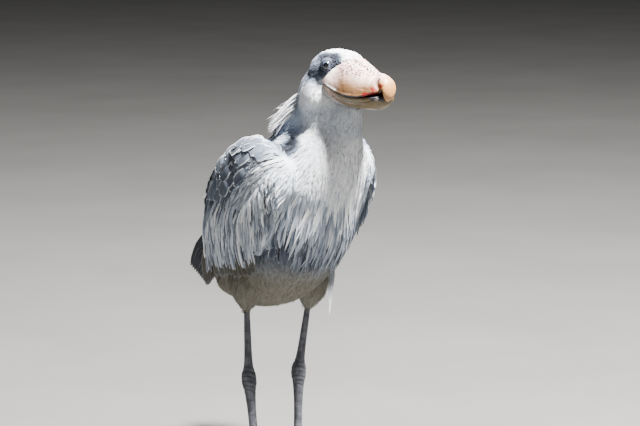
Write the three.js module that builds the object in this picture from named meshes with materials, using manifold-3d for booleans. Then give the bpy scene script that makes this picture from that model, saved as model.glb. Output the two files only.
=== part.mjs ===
// Shoebill standing at rest with its neck drawn in, life size, in millimetres.
// X is the bird's left, -Y is forward, Z is up, and the floor is at Z = 0.
import * as THREE from "three";
import { mergeVertices } from "three/addons/utils/BufferGeometryUtils.js";
import Module from "manifold-3d";

const wasm = await Module();
wasm.setup();

// Driving dimensions
const gap = 0.4; // between neighbouring pieces
const originShift = 76.2; // carries the middle of the bird's length over the origin
const lifeSize = 1.06; // the figures below, which were drawn a little small, times this
const eyeHeight = 1042;
const eyeForward = 221;
const headTurn = THREE.MathUtils.degToRad(-5); // the head looks a little to the bird's right
const eyeRadius = 13;
const eyeCentre = [47, -6, 0]; // in the head's frame, for the left eye
const wingFeathers = { primaries: 7, secondaries: 7, greater: 8, median: 5, lesser: 4, mantle: 7 };
const tailFeathers = 12;
const crestPlumes = 8;
const breastRows = 3; // rows of long narrow plumes on the breast
const backRows = 5; // rows of broad feathers over the back, between the wings
const footHeight = 15; // middle of the toes at the ankle end, above the floor
const toeReach = { middle: 172, inner: 128, outer: 134, back: 74 };

const vec = (x, y, z) => new THREE.Vector3(x, y, z);

// Solids

// A closed geometry as a solid, turned so that its faces point out.
function solid(geometry) {
  const bare = geometry.clone();
  bare.deleteAttribute("normal");
  bare.deleteAttribute("uv");
  const merged = mergeVertices(bare, 1e-3);
  const position = merged.attributes.position;
  const triVerts = new Uint32Array(merged.index.array);
  const corner = [vec(), vec(), vec()];
  let volume = 0;
  for (let i = 0; i < triVerts.length; i += 3) {
    corner.forEach((c, k) => c.fromBufferAttribute(position, triVerts[i + k]));
    volume += corner[0].dot(corner[1].clone().cross(corner[2]));
  }
  if (volume < 0) {
    for (let i = 0; i < triVerts.length; i += 3) {
      [triVerts[i + 1], triVerts[i + 2]] = [triVerts[i + 2], triVerts[i + 1]];
    }
  }
  const vertProperties = new Float32Array(position.array);
  return new wasm.Manifold(new wasm.Mesh({ numProp: 3, vertProperties, triVerts }));
}

const join = (pieces) => wasm.Manifold.union(pieces);
const without = (piece, ...others) => others.reduce((left, other) => left.subtract(other), piece);

// The largest closed body of a solid: scraps and sealed hollows go.
function mainBody(piece) {
  const bodies = piece.decompose();
  return bodies.reduce((best, body) => (body.volume() > best.volume() ? body : best));
}

// A limb or body: rings set along a smooth path, rounded off at both ends.
// Each station is [x, y, z, half width, reach to the top side, reach to the under side].
// The top side is side x path, so it is up for a path that runs backwards.
class Limb {
  constructor(stations, { sides = 16, rings = 12, caps = [0.2, 0.2], square = 1, turn } = {}) {
    this.path = new THREE.CatmullRomCurve3(
      stations.map((s) => vec(s[0], s[1], s[2])), false, "catmullrom");
    this.reach = new THREE.CatmullRomCurve3(
      stations.map((s) => vec(s[3], s[4], s[5])), false, "catmullrom");
    Object.assign(this, { sides, rings, caps, square, turn });
  }

  rounding(u) {
    const [start, end] = this.caps;
    const short = u < start ? 1 - u / start : u > 1 - end ? 1 - (1 - u) / end : 0;
    return Math.sqrt(Math.max(0, 1 - short * short));
  }

  // The point at u along the path and at an angle round it: 0 is the left side, a quarter turn the top.
  at(u, angle, grow = 0) {
    const along = this.path.getTangent(u);
    const side = vec(1, 0, 0).addScaledVector(along, -along.x).normalize();
    if (this.turn) side.applyAxisAngle(along, this.turn);
    const top = side.clone().cross(along);
    const reach = this.reach.getPoint(u);
    const round = this.rounding(u);
    const c = Math.cos(angle);
    const s = Math.sin(angle);
    const across = Math.sign(c) * Math.abs(c) ** this.square * (reach.x * round + grow);
    const depth = (s > 0 ? reach.y : reach.z) * round + grow;
    const up = Math.sign(s) * Math.abs(s) ** this.square * depth;
    return this.path.getPoint(u).addScaledVector(side, across).addScaledVector(top, up);
  }

  // The outward direction of the skin there.
  outward(u, angle) {
    const step = 0.01;
    const lengthways = this.at(Math.min(1, u + step), angle).sub(this.at(Math.max(0, u - step), angle));
    const round = this.at(u, angle + step * 4).sub(this.at(u, angle - step * 4));
    const normal = lengthways.cross(round).normalize();
    const fromMiddle = this.at(u, angle).sub(this.path.getPoint(u));
    return normal.dot(fromMiddle) < 0 ? normal.negate() : normal;
  }

  solid(grow = 0) {
    const geometry = new THREE.SphereGeometry(1, this.sides, this.rings);
    const position = geometry.attributes.position;
    for (let i = 0; i < position.count; i++) {
      const ball = vec().fromBufferAttribute(position, i);
      const u = (1 - ball.y) / 2;
      const pole = Math.hypot(ball.x, ball.z) < 1e-6;
      const point = pole
        ? this.path.getPoint(Math.round(u))
        : this.at(u, Math.atan2(ball.z, ball.x), grow);
      point.addScaledVector(this.path.getTangent(u), -ball.y * grow);
      position.setXYZ(i, point.x, point.y, point.z);
    }
    return solid(geometry);
  }
}

const ball = (x, y, z, radius, sides = 12, rings = 8) =>
  solid(new THREE.SphereGeometry(radius, sides, rings).translate(x, y, z));

// A feather: a long diamond in section, widest past its middle, with its root square and its tip a point.
// The line is five points from root to tip and the face is the way its upper side looks at each end.
function vane(line, face, width, thick, { roll = 0, rows = [0, 0.34, 0.7], cup = 0.12 } = {}) {
  const curve = new THREE.CatmullRomCurve3(line);
  const shares = [0.5, 0.92, 1, 0.78];
  const spots = [];
  const faces = [];
  const corner = (row, k) => row * 4 + (k % 4);
  rows.forEach((s, row) => {
    const at = curve.getPoint(s);
    const along = curve.getTangent(s);
    const up = face[0].clone().lerp(face[1], s).addScaledVector(along, 0);
    up.addScaledVector(along, -up.dot(along)).normalize().applyAxisAngle(along, roll);
    const side = along.clone().cross(up);
    const half = (width / 2) * shares[Math.round((row * 3) / (rows.length - 1))];
    const deep = (thick / 2) * (1 - 0.45 * s);
    spots.push(at.clone().addScaledVector(side, half).addScaledVector(up, -cup * half));
    spots.push(at.clone().addScaledVector(up, deep));
    spots.push(at.clone().addScaledVector(side, -half).addScaledVector(up, -cup * half));
    spots.push(at.clone().addScaledVector(up, -deep));
  });
  const tip = spots.length;
  spots.push(curve.getPoint(1));
  for (let row = 0; row < rows.length - 1; row++) {
    // Both faces are split from the edge of one row to the quill of the next.
    for (const [edge, quill] of [[0, 1], [2, 1], [2, 3], [0, 3]]) {
      const [a, b] = [corner(row, edge), corner(row, quill)];
      const [c, d] = [corner(row + 1, quill), corner(row + 1, edge)];
      const flip = (edge === 2) !== (quill === 3);
      faces.push(flip ? [a, c, b] : [a, b, c], flip ? [a, d, c] : [a, c, d]);
    }
  }
  const last = rows.length - 1;
  for (let k = 0; k < 4; k++) faces.push([corner(last, k), corner(last, k + 1), tip]);
  faces.push([0, 2, 1], [0, 3, 2]);
  const geometry = new THREE.BufferGeometry().setFromPoints(spots);
  geometry.setIndex(faces.flat());
  return solid(geometry);
}

const mirrored = (stations, side) => stations.map(([x, ...rest]) => [x * side, ...rest]);

// Head, in its own frame: the origin is midway between the eyes
const gapeForward = -8;
const tipForward = 203;

const cranium = new Limb([
  [0, -62, -14, 28, 24, 34],
  [0, -46, -14, 42, 38, 54],
  [0, -22, -16, 54, 49, 70],
  [0, 4, -20, 58, 54, 78],
  [0, 36, -24, 59, 55, 76],
  [0, 66, -32, 50, 46, 62],
  [0, 92, -44, 26, 22, 34],
], { sides: 18, rings: 12, caps: [0.22, 0.22] });

// Half width and height of the bill's cutting edge, and its top and bottom, against the distance forward.
const billProfile = new THREE.CatmullRomCurve3([
  [-12, 54, -40],
  [22, 57, -51],
  [62, 58, -61],
  [97, 56, -66],
  [129, 50, -65.5],
  [153, 42, -60],
  [170, 34, -54],
  [182, 22, -48],
].map((p) => vec(...p)), false, "catmullrom");
const culmen = [22, 24, 18, 6, -3, -7, -9, -12];
const keel = [-80, -92, -99, -99, -98, -96, -88, -78];
const tipDrop = [0, 0, 0, 0, 1, 4, 9, 12]; // the lower bill falls away from the upper one near the tip
const mouthGap = 0.9; // half of the gap between the bills

function billStations(upper) {
  return billProfile.points.map((p, i) => {
    const edge = p.z + (upper ? mouthGap : -mouthGap - tipDrop[i]);
    const width = upper ? p.y : p.y - 3;
    const top = upper ? culmen[i] - edge : 1.5;
    const under = upper ? 1.5 : edge - keel[i];
    return [0, -p.x, edge, width, top, under];
  }).reverse();
}

// The bill's sides bulge over the cutting edge, and the top closes to a keel.
// The lower bill is fuller below, most of all at its base.
class Bill extends Limb {
  at(u, angle, grow = 0) {
    const point = super.at(u, angle, grow);
    const height = Math.max(0, Math.sin(angle) * this.ridge);
    const pinch = this.ridge > 0 ? 0.34 : 0.34 - 0.24 * u;
    point.x *= 1 - pinch * height ** 1.5;
    return point;
  }
}

function makeBill(upper) {
  const bill = new Bill(billStations(upper),
    { sides: 16, rings: 13, caps: upper ? [0.1, 0.02] : [0.16, 0.02], square: 0.85 });
  bill.ridge = upper ? 1 : -1;
  return bill;
}

const hook = new Limb([
  [0, -142, -27, 12, 12, 14],
  [0, -164, -28, 18, 14, 18],
  [0, -182, -35, 19, 12, 15],
  [0, -190, -48, 15, 10, 9],
  [0, -188, -62, 10, 7, 6],
  [0, -182, -76, 3, 2, 2],
], { sides: 10, rings: 9, caps: [0.15, 0.1] });

const material = (color, roughness) => new THREE.MeshStandardMaterial({ color, roughness, metalness: 0 });
const paint = {
  pale: material("#c9ccd2", 0.9),
  slate: material("#7e8794", 0.85),
  flight: material("#3c434e", 0.8),
  belly: material("#b9b7ab", 0.95),
  bill: material("#d8b79c", 0.45),
  eye: material("#5a6f86", 0.1),
  shank: material("#6b6670", 0.75),
  claw: material("#2f2c2c", 0.5),
};

const headFrame = new THREE.Matrix4().makeRotationZ(headTurn).setPosition(0, -eyeForward, eyeHeight);
const placed = (piece) => piece.transform(headFrame.elements);

const upperBill = makeBill(true);
const lowerBill = makeBill(false);

const eyeBall = (side, grow = 0) =>
  ball(side * eyeCentre[0], eyeCentre[1], eyeCentre[2], eyeRadius + grow);

// An upper and a lower lid round each eye, meeting at its corners.
const lid = (side, rise, grow = 0) =>
  ball(side * (eyeCentre[0] - 8), eyeCentre[1] + 0.5, rise, eyeRadius + 6 + grow);
const lidRise = [3.5, -3];

function makeHead() {
  const lids = [-1, 1].flatMap((side) => lidRise.map((rise) => lid(side, rise)));
  return without(join([cranium.solid(), ...lids]), eyeBall(-1, gap), eyeBall(1, gap));
}

// The nostrils are slits high on the sides of the bill, close to its base.
const nostril = (side) => solid(
  new THREE.SphereGeometry(1, 6, 4).scale(5, 11, 1.6).rotateX(0.22).translate(side * 30, -66, 0));

// Body

const torsoLimb = new Limb([
  [0, -150, 872, 64, 84, 80],
  [0, -118, 802, 106, 138, 130],
  [0, -78, 728, 122, 160, 168],
  [0, -28, 662, 126, 158, 184],
  [0, 34, 610, 121, 140, 188],
  [0, 104, 572, 106, 108, 174],
  [0, 176, 546, 86, 66, 149],
  [0, 246, 518, 54, 14, 96],
], { sides: 18, rings: 14, caps: [0.12, 0.13] });

const neckLimb = new Limb([
  [0, -156, 1040, 46, 46, 56],
  [0, -160, 1000, 60, 64, 90],
  [0, -168, 960, 67, 88, 122],
  [0, -182, 912, 71, 90, 108],
  [0, -184, 860, 76, 92, 96],
  [0, -150, 780, 84, 95, 90],
], { sides: 16, rings: 10, caps: [0.2, 0.1] });

// Wing, left side drawn, mirrored for the right. The left shoulder is held a little higher.
const wingStations = [
  [118, -186, 794, 28, 54, 50],
  [130, -120, 764, 36, 124, 90],
  [133, -42, 722, 35, 144, 148],
  [129, 30, 680, 31, 138, 174],
  [122, 95, 625, 25, 106, 128],
  [110, 155, 570, 16, 48, 82],
  [100, 205, 520, 10, 32, 58],
  [93, 240, 474, 5, 28, 34],
];
const shoulderRise = [22, 12];
const wingShape = (side) => mirrored(wingStations, side).map(([x, y, z, ...reach], i) =>
  [x, y, z + (side > 0 && i < 2 ? shoulderRise[i] : 0), ...reach]);
const wingLimb = (side) => new Limb(wingShape(side),
  { sides: 16, rings: 14, caps: [0.14, 0.05], square: 0.9 });

// The flesh of the wing ends short of the feathers' tips at its back, its lower edge and its point.
const wingCore = (side) => new Limb(
  wingShape(side).slice(0, 6).map(([x, y, z, half, top, under], i) =>
    [x, y, z, half - 4, top - 8 - 5 * i, under - 10 - 9 * i]),
  { sides: 12, rings: 9, caps: [0.16, 0.2], square: 0.9 });

// The outer face of the folded wing over a place given by how far back and how high it is.
function wingFace(wing, side, y, z) {
  let best = { miss: Infinity };
  for (let i = 0; i <= 60; i++) {
    const u = i / 60;
    const middle = wing.path.getPoint(u);
    const along = wing.path.getTangent(u);
    const miss = Math.abs((y - middle.y) * along.y + (z - middle.z) * along.z);
    if (miss < best.miss) best = { miss, u, middle, along };
  }
  const { u, middle, along } = best;
  const rise = (y - middle.y) * -along.z + (z - middle.z) * along.y;
  const reach = wing.reach.getPoint(u);
  const share = Math.min(1, Math.abs(rise) / ((rise > 0 ? reach.y : reach.z) * wing.rounding(u)));
  const half = reach.x * wing.rounding(u) * Math.sqrt(1 - Math.min(0.82, share ** 2.2));
  return middle.x + side * half;
}

// One feather of the wing, laid on its outer face from a root to a tip, both [back, up].
function wingFeather(wing, side, root, tip, { width, thick = 2.2, lift, bow = 6, rows, roll = 7 }) {
  const reach = Math.hypot(tip[0] - root[0], tip[1] - root[1]);
  const bend = [-(tip[1] - root[1]) / reach, (tip[0] - root[0]) / reach];
  const line = [0, 0.25, 0.5, 0.75, 1].map((s) => {
    const sag = Math.sin(Math.PI * s) * bow;
    const y = root[0] + (tip[0] - root[0]) * s + bend[0] * sag;
    const z = root[1] + (tip[1] - root[1]) * s + bend[1] * sag;
    const rise = s < 0.25 ? -4 + (lift + 4) * s * 4 : lift;
    return vec(wingFace(wing, side, y, z) + side * rise, y, z);
  });
  const face = [vec(side, 0.1, 0.15), vec(side, 0.1, -0.1)].map((v) => v.normalize());
  return vane(line, face, width, thick, { roll: THREE.MathUtils.degToRad(-side * roll), rows });
}

const blend = (a, b, s) => a.map((v, k) => v + (b[k] - v) * s);
const spread = (count, make) => Array.from({ length: count }, (_, i) => make(i, i / (count - 1)));
const longRows = [0, 0.3, 0.62, 0.88];
const edgeLine = new THREE.CatmullRomCurve3(
  [[-84, 556], [-48, 522], [20, 512], [90, 503], [150, 490], [190, 470]].map(([y, z]) => vec(0, y, z)));
const backLine = new THREE.CatmullRomCurve3(
  [[-74, 838], [-30, 828], [12, 800], [46, 762], [74, 718], [90, 668], [98, 616]]
    .map(([y, z]) => vec(0, y, z)));

function wingFeatherTiers(wing, side) {
  const feather = (root, tip, shape) => wingFeather(wing, side, root, tip, shape);
  const hanging = (s, rise, length, lean) => {
    const edge = edgeLine.getPoint(s);
    const tip = [edge.y + 2 * Math.sin(s * 40), edge.z + rise];
    return [[tip[0] - lean - 20 * s, tip[1] + length], tip];
  };
  return [
    ...spread(wingFeathers.primaries, (i, s) => feather(
      blend([132, 606], [92, 536], s), blend([266, 494], [208, 452], s), 
      { width: 32, lift: -2 - 1.2 * i, bow: 10, rows: longRows })),
    ...spread(wingFeathers.secondaries, (i, s) => feather(
      ...hanging(s, -6 + 5 * Math.sin(i * 2.3), 125, 26), { width: 40, lift: -1.5 })),
    ...spread(wingFeathers.greater, (i, s) => feather(
      ...hanging(s * 0.9, 22 + 4 * Math.sin(i * 1.7), 105, 22), { width: 37, lift: 2.5 })),
    ...spread(wingFeathers.median, (i, s) => feather(
      ...hanging(s * 0.86, 96 + 5 * Math.sin(i * 2.9), 78, 14), { width: 42, lift: 5 })),
    ...spread(wingFeathers.lesser, (i, s) => feather(
      ...hanging(s * 0.7, 152 + 5 * Math.sin(i * 2.1), 64, 8), { width: 46, lift: 6.5 })),
    ...spread(wingFeathers.mantle, (i) => {
      const inner = i % 2;
      const spot = backLine.getPoint(i / (wingFeathers.mantle - 1));
      const root = [spot.y - 34 * inner, spot.z - 40 * inner];
      return feather(root, [root[0] + 46, root[1] - 90], { width: 54, lift: 3 + 2.5 * inner, bow: 9 });
    }),
  ];
}

// A long loose feather of the left wing hangs down beside the thigh.
const looseFeathers = (wing) => [0, 1].map((i) => wingFeather(wing, 1,
  [-62 + 7 * i, 606 - 8 * i], [-27 + 6 * i, 384 + 13 * i], { width: 22, lift: 6 - 2.4 * i, bow: 4, rows: longRows }));

// Leg: side is -1 for the right, 1 for the left
const legs = {
  right: { side: -1, knee: [-68, 66, 470], ankle: [-68, 57, 238], foot: [-68, 26, footHeight] },
  left: { side: 1, knee: [70, -21, 470], ankle: [66, 23, 245], foot: [66, 28, footHeight] },
};

function thighLimb({ side, knee, ankle }) {
  const shin = (share) => knee.map((k, i) => k + (ankle[i] - k) * share);
  const top = [knee[0], knee[1] + 6, knee[2] + 70];
  return new Limb([
    [...top, 50, 60, 60],
    [...knee, 44, 52, 52],
    [...shin(0.16), 31, 35, 35],
    [...shin(0.28), 15, 17, 17],
    [...shin(0.37), 11, 12, 12],
  ], { sides: 12, rings: 9, caps: [0.2, 0.05] });
}

function shankLimb({ knee, ankle }) {
  const shin = (share) => knee.map((k, i) => k + (ankle[i] - k) * share);
  return new Limb([
    [...shin(0.3), 7, 7.5, 7.5],
    [...shin(0.5), 8.5, 9, 9],
    [...shin(0.75), 9.5, 10.5, 10.5],
    [...shin(0.98), 13, 14, 14],
  ], { sides: 8, rings: 6, caps: [0.02, 0.05] });
}

function tarsusLimb({ ankle, foot }) {
  const shin = (share) => ankle.map((k, i) => k + (foot[i] - k) * share);
  return new Limb([
    [...shin(-0.1), 13, 14, 14],
    [...shin(-0.02), 18, 19, 20],
    [...shin(0.07), 18, 19, 19],
    [...shin(0.18), 12, 13, 13],
    [...shin(0.5), 10, 11, 11],
    [...shin(0.85), 11, 12, 12],
    [...shin(0.98), 14, 16, 16],
    [...shin(1.02), 12, 12, 12],
  ], { sides: 10, rings: 14, caps: [0.08, 0.06] });
}

// Toes lie along the floor: degrees from straight forward, to the outside of the foot.
const toePlan = {
  middle: { bearing: 8, thick: 8.5 },
  inner: { bearing: -20, thick: 7.8 },
  outer: { bearing: 41, thick: 7.8 },
  back: { bearing: 192, thick: 7.2 },
};
const floor = solid(new THREE.BoxGeometry(2000, 2000, 100).translate(0, 0, -50));

function toeLine({ side, foot }, name) {
  const bearing = THREE.MathUtils.degToRad(toePlan[name].bearing) * side;
  const heading = vec(Math.sin(bearing), -Math.cos(bearing), 0);
  return (distance, height) => vec(foot[0], foot[1], 0).addScaledVector(heading, distance).setZ(height);
}

function toeLimb(leg, name) {
  const { thick } = toePlan[name];
  const line = toeLine(leg, name);
  const long = toeReach[name];
  const joint = (share, swell, height) =>
    [...line(long * share, height).toArray(), thick * swell, thick * swell, thick * swell];
  return new Limb([
    joint(0.0, 1.25, footHeight),
    joint(0.14, 1.1, footHeight - 3.5),
    joint(0.36, 1.12, thick * 0.98),
    joint(0.48, 0.9, thick * 0.95),
    joint(0.66, 1.0, thick * 0.86),
    joint(0.82, 0.82, thick * 0.8),
    joint(1.0, 0.66, thick * 0.62),
  ], { sides: 8, rings: 9, caps: [0.1, 0.12], square: 0.9 });
}

function clawLimb(leg, name) {
  const { thick } = toePlan[name];
  const line = toeLine(leg, name);
  const long = toeReach[name];
  const at = (distance, height, size) => [...line(long + distance, height).toArray(), size * 0.75, size, size];
  return new Limb([
    at(-8, thick * 0.6, 4),
    at(0, thick * 0.75, 5),
    at(9, thick * 0.78, 4.2),
    at(18, thick * 0.5, 2.8),
    at(25, thick * 0.2, 1.0),
  ], { sides: 6, rings: 5, caps: [0.2, 0.05] });
}

// The bird, put together

const shoebill = new THREE.Group();
shoebill.scale.setScalar(lifeSize);
shoebill.position.set(0, originShift * lifeSize, 0);

function add(name, piece, finish) {
  const { numProp, vertProperties, triVerts } = mainBody(piece).getMesh();
  const geometry = new THREE.BufferGeometry();
  const points = new THREE.BufferAttribute(vertProperties, numProp);
  geometry.setAttribute("position", points);
  geometry.setIndex(new THREE.BufferAttribute(triVerts, 1));
  geometry.computeVertexNormals();
  const mesh = new THREE.Mesh(geometry, finish);
  mesh.name = name;
  shoebill.add(mesh);
}

const headCut = placed(cranium.solid(gap));
const lidCuts = [-1, 1].flatMap((side) => lidRise.map((rise) => placed(lid(side, rise, gap))));
const lowerCut = placed(lowerBill.solid(gap));
const torsoCut = torsoLimb.solid(gap);
const neckCut = neckLimb.solid(gap);

add("head", placed(makeHead()), paint.pale);
["right", "left"].forEach((name, i) => {
  const side = i * 2 - 1;
  add(`eye_${name}`, placed(eyeBall(side)), paint.eye);
});
const nostrils = placed(join([nostril(-1), nostril(1)]));
add("bill_upper", without(placed(join([upperBill.solid(), hook.solid()])), headCut, nostrils, ...lidCuts),
  paint.bill);
const upperCut = placed(join([upperBill.solid(mouthGap), hook.solid(mouthGap)]));
add("bill_lower", without(placed(lowerBill.solid()), headCut, upperCut), paint.bill);

// The crest hangs from the nape, to the right and behind the neck.
const crest = spread(crestPlumes, (i, s) => {
  const wave = Math.sin(i * 2.4);
  const root = vec(-18 - 26 * s, -84 - 8 * s, 952 + 9 * wave);
  const tip = vec(-60 - 34 * s, -14 - 22 * s + 8 * wave, 894 - 18 * s + 7 * wave);
  const bowed = (share, lift) => root.clone().lerp(tip, share).add(vec(-2, 0.7, 0.7).multiplyScalar(lift));
  const line = [root.clone().add(vec(8, -12, 0)), bowed(0.2, 2), bowed(0.5, 4), bowed(0.8, 4), tip];
  const face = vec(-0.5, 0.6, 0.6).normalize();
  return vane(line, [face, face], 14, 2, { roll: 0.3 * wave });
});
const neckBody = without(neckLimb.solid(), headCut, lowerCut, torsoCut);
add("neck", without(join([neckBody, ...crest]), torsoCut), paint.pale);

// The breast plumes lie down the front of the torso in rows, each over the next.
const plumes = Array.from({ length: breastRows }, (_, row) => spread(8, (i, s) => {
  const angle = -Math.PI / 2 + (s - 0.5) * 1.75 + (row % 2 ? 0.09 : -0.09);
  const u = 0.17 + row * 0.085 + 0.014 * Math.sin(i * 2.7 + row);
  const at = (ahead, lift) => torsoLimb.at(u + ahead, angle)
    .addScaledVector(torsoLimb.outward(u + ahead, angle), lift);
  const line = [at(0, -3), at(0.045, 3), at(0.09, 5), at(0.135, 6), at(0.18, 9)];
  const face = [torsoLimb.outward(u, angle), torsoLimb.outward(u + 0.16, angle)];
  return vane(line, face, 27, 3, { roll: 0.12 });
})).flat();
const mantle = Array.from({ length: backRows }, (_, row) => spread(4, (i, s) => {
  const angle = Math.PI / 2 + (s - 0.5) * 1.35 + (row % 2 ? 0.16 : -0.16);
  const u = 0.14 + row * 0.13;
  const at = (ahead, lift) => torsoLimb.at(u + ahead, angle)
    .addScaledVector(torsoLimb.outward(u + ahead, angle), lift);
  const line = [at(0, -4), at(0.045, 3), at(0.09, 4.5), at(0.135, 4.5), at(0.18, 4)];
  const face = [torsoLimb.outward(u, angle), torsoLimb.outward(u + 0.16, angle)];
  return vane(line, face, 58, 2.4, { roll: 0.1 });
})).flat();
const wingRoom = [-1, 1].map((side) => wingLimb(side).solid(5));
add("torso", join([torsoLimb.solid(), without(join([...plumes, ...mantle]), ...wingRoom)]), paint.pale);

const tailLimb = new Limb([
  [0, 168, 612, 26, 12, 22],
  [0, 200, 582, 38, 12, 20],
  [0, 228, 548, 42, 8, 14],
], { sides: 12, rings: 6, caps: [0.2, 0.3] });
const tailVanes = spread(tailFeathers, (i, s) => {
  const out = 2 * s - 1;
  const root = vec(out * 30, 196, 584 + 3 * (i % 2));
  const tip = vec(out * 52, 272 - 10 * out * out, 480 + 4 * Math.abs(out) + 3 * (i % 2));
  const line = [0, 0.25, 0.5, 0.75, 1].map((k) =>
    root.clone().lerp(tip, k).add(vec(0, 0.6, 0.7).multiplyScalar(7 * Math.sin(Math.PI * k))));
  const face = vec(0.15 * out, 0.75, 0.65).normalize();
  return vane(line, [face, face], 25, 2.2, { roll: 0.1 * out });
});
const tail = without(join([tailLimb.solid(), ...tailVanes]), torsoCut);
add("tail", tail, paint.flight);

for (const [name, leg] of Object.entries(legs)) {
  const thigh = thighLimb(leg);
  const tarsus = tarsusLimb(leg);
  const wing = wingLimb(leg.side);
  const feathers = wingFeatherTiers(wing, leg.side);
  if (name === "left") feathers.push(...looseFeathers(wing));
  const whole = join([wingCore(leg.side).solid(), ...feathers]);
  add(`wing_${name}`, without(whole, torsoCut, neckCut, thigh.solid(gap)), paint.slate);
  add(`thigh_${name}`, without(thigh.solid(), torsoCut), paint.belly);
  add(`shank_${name}`, without(shankLimb(leg).solid(), thigh.solid(gap), tarsus.solid(gap)), paint.shank);
  add(`tarsus_${name}`, without(tarsus.solid(), floor), paint.shank);
  const cuts = [tarsus.solid(gap), floor];
  for (const toe of Object.keys(toePlan)) {
    const limb = toeLimb(leg, toe);
    add(`toe_${toe}_${name}`, without(limb.solid(), ...cuts), paint.shank);
    cuts.push(limb.solid(gap));
    add(`claw_${toe}_${name}`, without(clawLimb(leg, toe).solid(), limb.solid(gap), floor), paint.claw);
  }
}

export default shoebill;
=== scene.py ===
# Shoebill standing at rest with its neck drawn in, life size.
# -Y is forward, +X is the bird's left and the floor is at Z = 0. Shapes are drawn in
# millimetres, as in the part's source, and placed in the frame, in metres, by toFrame.
import math
import time
import bpy
import numpy as np
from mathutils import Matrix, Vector
from mathutils.bvhtree import BVHTree
from mathutils.kdtree import KDTree


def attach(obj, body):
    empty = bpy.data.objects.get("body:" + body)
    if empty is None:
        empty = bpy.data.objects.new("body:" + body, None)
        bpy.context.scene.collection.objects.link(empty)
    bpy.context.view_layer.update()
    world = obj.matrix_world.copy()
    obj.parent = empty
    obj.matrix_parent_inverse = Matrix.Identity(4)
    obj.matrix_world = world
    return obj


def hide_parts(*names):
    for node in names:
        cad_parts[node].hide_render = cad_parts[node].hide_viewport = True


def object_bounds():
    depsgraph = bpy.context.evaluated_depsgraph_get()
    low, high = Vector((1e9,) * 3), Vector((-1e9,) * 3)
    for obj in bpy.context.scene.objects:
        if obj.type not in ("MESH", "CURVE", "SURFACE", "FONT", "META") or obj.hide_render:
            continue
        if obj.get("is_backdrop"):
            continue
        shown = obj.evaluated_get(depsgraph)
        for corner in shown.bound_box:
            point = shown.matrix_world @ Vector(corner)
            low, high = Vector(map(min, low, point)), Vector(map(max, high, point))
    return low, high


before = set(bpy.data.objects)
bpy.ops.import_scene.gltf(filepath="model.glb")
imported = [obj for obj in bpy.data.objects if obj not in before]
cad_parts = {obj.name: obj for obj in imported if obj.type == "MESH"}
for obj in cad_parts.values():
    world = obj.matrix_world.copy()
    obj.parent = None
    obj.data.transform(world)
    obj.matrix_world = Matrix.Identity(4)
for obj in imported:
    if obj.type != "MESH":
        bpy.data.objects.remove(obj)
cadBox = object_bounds()
startTime = time.time()


def report(words):
    print(f"{time.time() - startTime:6.1f} s  {words}")


bird = {"lifeSize": 1.06, "shift": 76.2, "eyeHeight": 1042, "eyeForward": 221, "headTurn": -5}


def toFrame(points):
    return (np.asarray(points, float) + [0, bird["shift"], 0]) * bird["lifeSize"] / 1000


def toDrawing(points):
    return np.asarray(points, float) * 1000 / bird["lifeSize"] - [0, bird["shift"], 0]


def fromHead(points):  # from the head's own frame, between the eyes, to the drawing's
    turn = math.radians(bird["headTurn"])
    c, s = math.cos(turn), math.sin(turn)
    x, y, z = np.moveaxis(np.asarray(points, float), -1, 0)
    return np.stack([x * c - y * s, x * s + y * c - bird["eyeForward"], z + bird["eyeHeight"]], -1)


def toHead(points):
    turn = math.radians(bird["headTurn"])
    c, s = math.cos(turn), math.sin(turn)
    x, y, z = np.moveaxis(np.asarray(points, float), -1, 0)
    y = y + bird["eyeForward"]
    return np.stack([x * c + y * s, -x * s + y * c, z - bird["eyeHeight"]], -1)


def unit(v):
    return v / np.maximum(np.linalg.norm(v, axis=-1, keepdims=True), 1e-9)


def smoothStep(low, high, v):
    t = np.clip((np.asarray(v, float) - low) / (high - low), 0, 1)
    return t * t * (3 - 2 * t)


def alongLine(points, u):  # a smooth line through points (first axis), read at u from 0 to 1
    pts = np.asarray(points, float)
    u = np.asarray(u, float)
    last = len(pts) - 1
    pts = np.concatenate([[2 * pts[0] - pts[1]], pts, [2 * pts[-1] - pts[-2]]])
    t = np.clip(u, 0, 1) * last
    i = np.minimum(t.astype(int), last - 1)
    w = (t - i).reshape(t.shape + (1,) * (pts.ndim - 1))
    a, b, c, d = pts[i], pts[i + 1], pts[i + 2], pts[i + 3]
    return 0.5 * (2 * b + (c - a) * w + (2 * a - 5 * b + 4 * c - d) * w ** 2
                  + (3 * b - a - 3 * c + d) * w ** 3)


def blend(base, value, share):
    return base * (1 - share) + value * share


def missOf(points, centre, reach):  # how far off a mark's centre, as a share of its reach
    return np.sqrt(sum((points[:, k] - centre[k]) ** 2 / reach[k] ** 2 for k in range(3)))


def ringFaces(rings, sides):  # the quads between closed rings of points
    return [[r * sides + k, r * sides + (k + 1) % sides, (r + 1) * sides + (k + 1) % sides,
             (r + 1) * sides + k]
            for r in range(rings - 1) for k in range(sides)]


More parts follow.
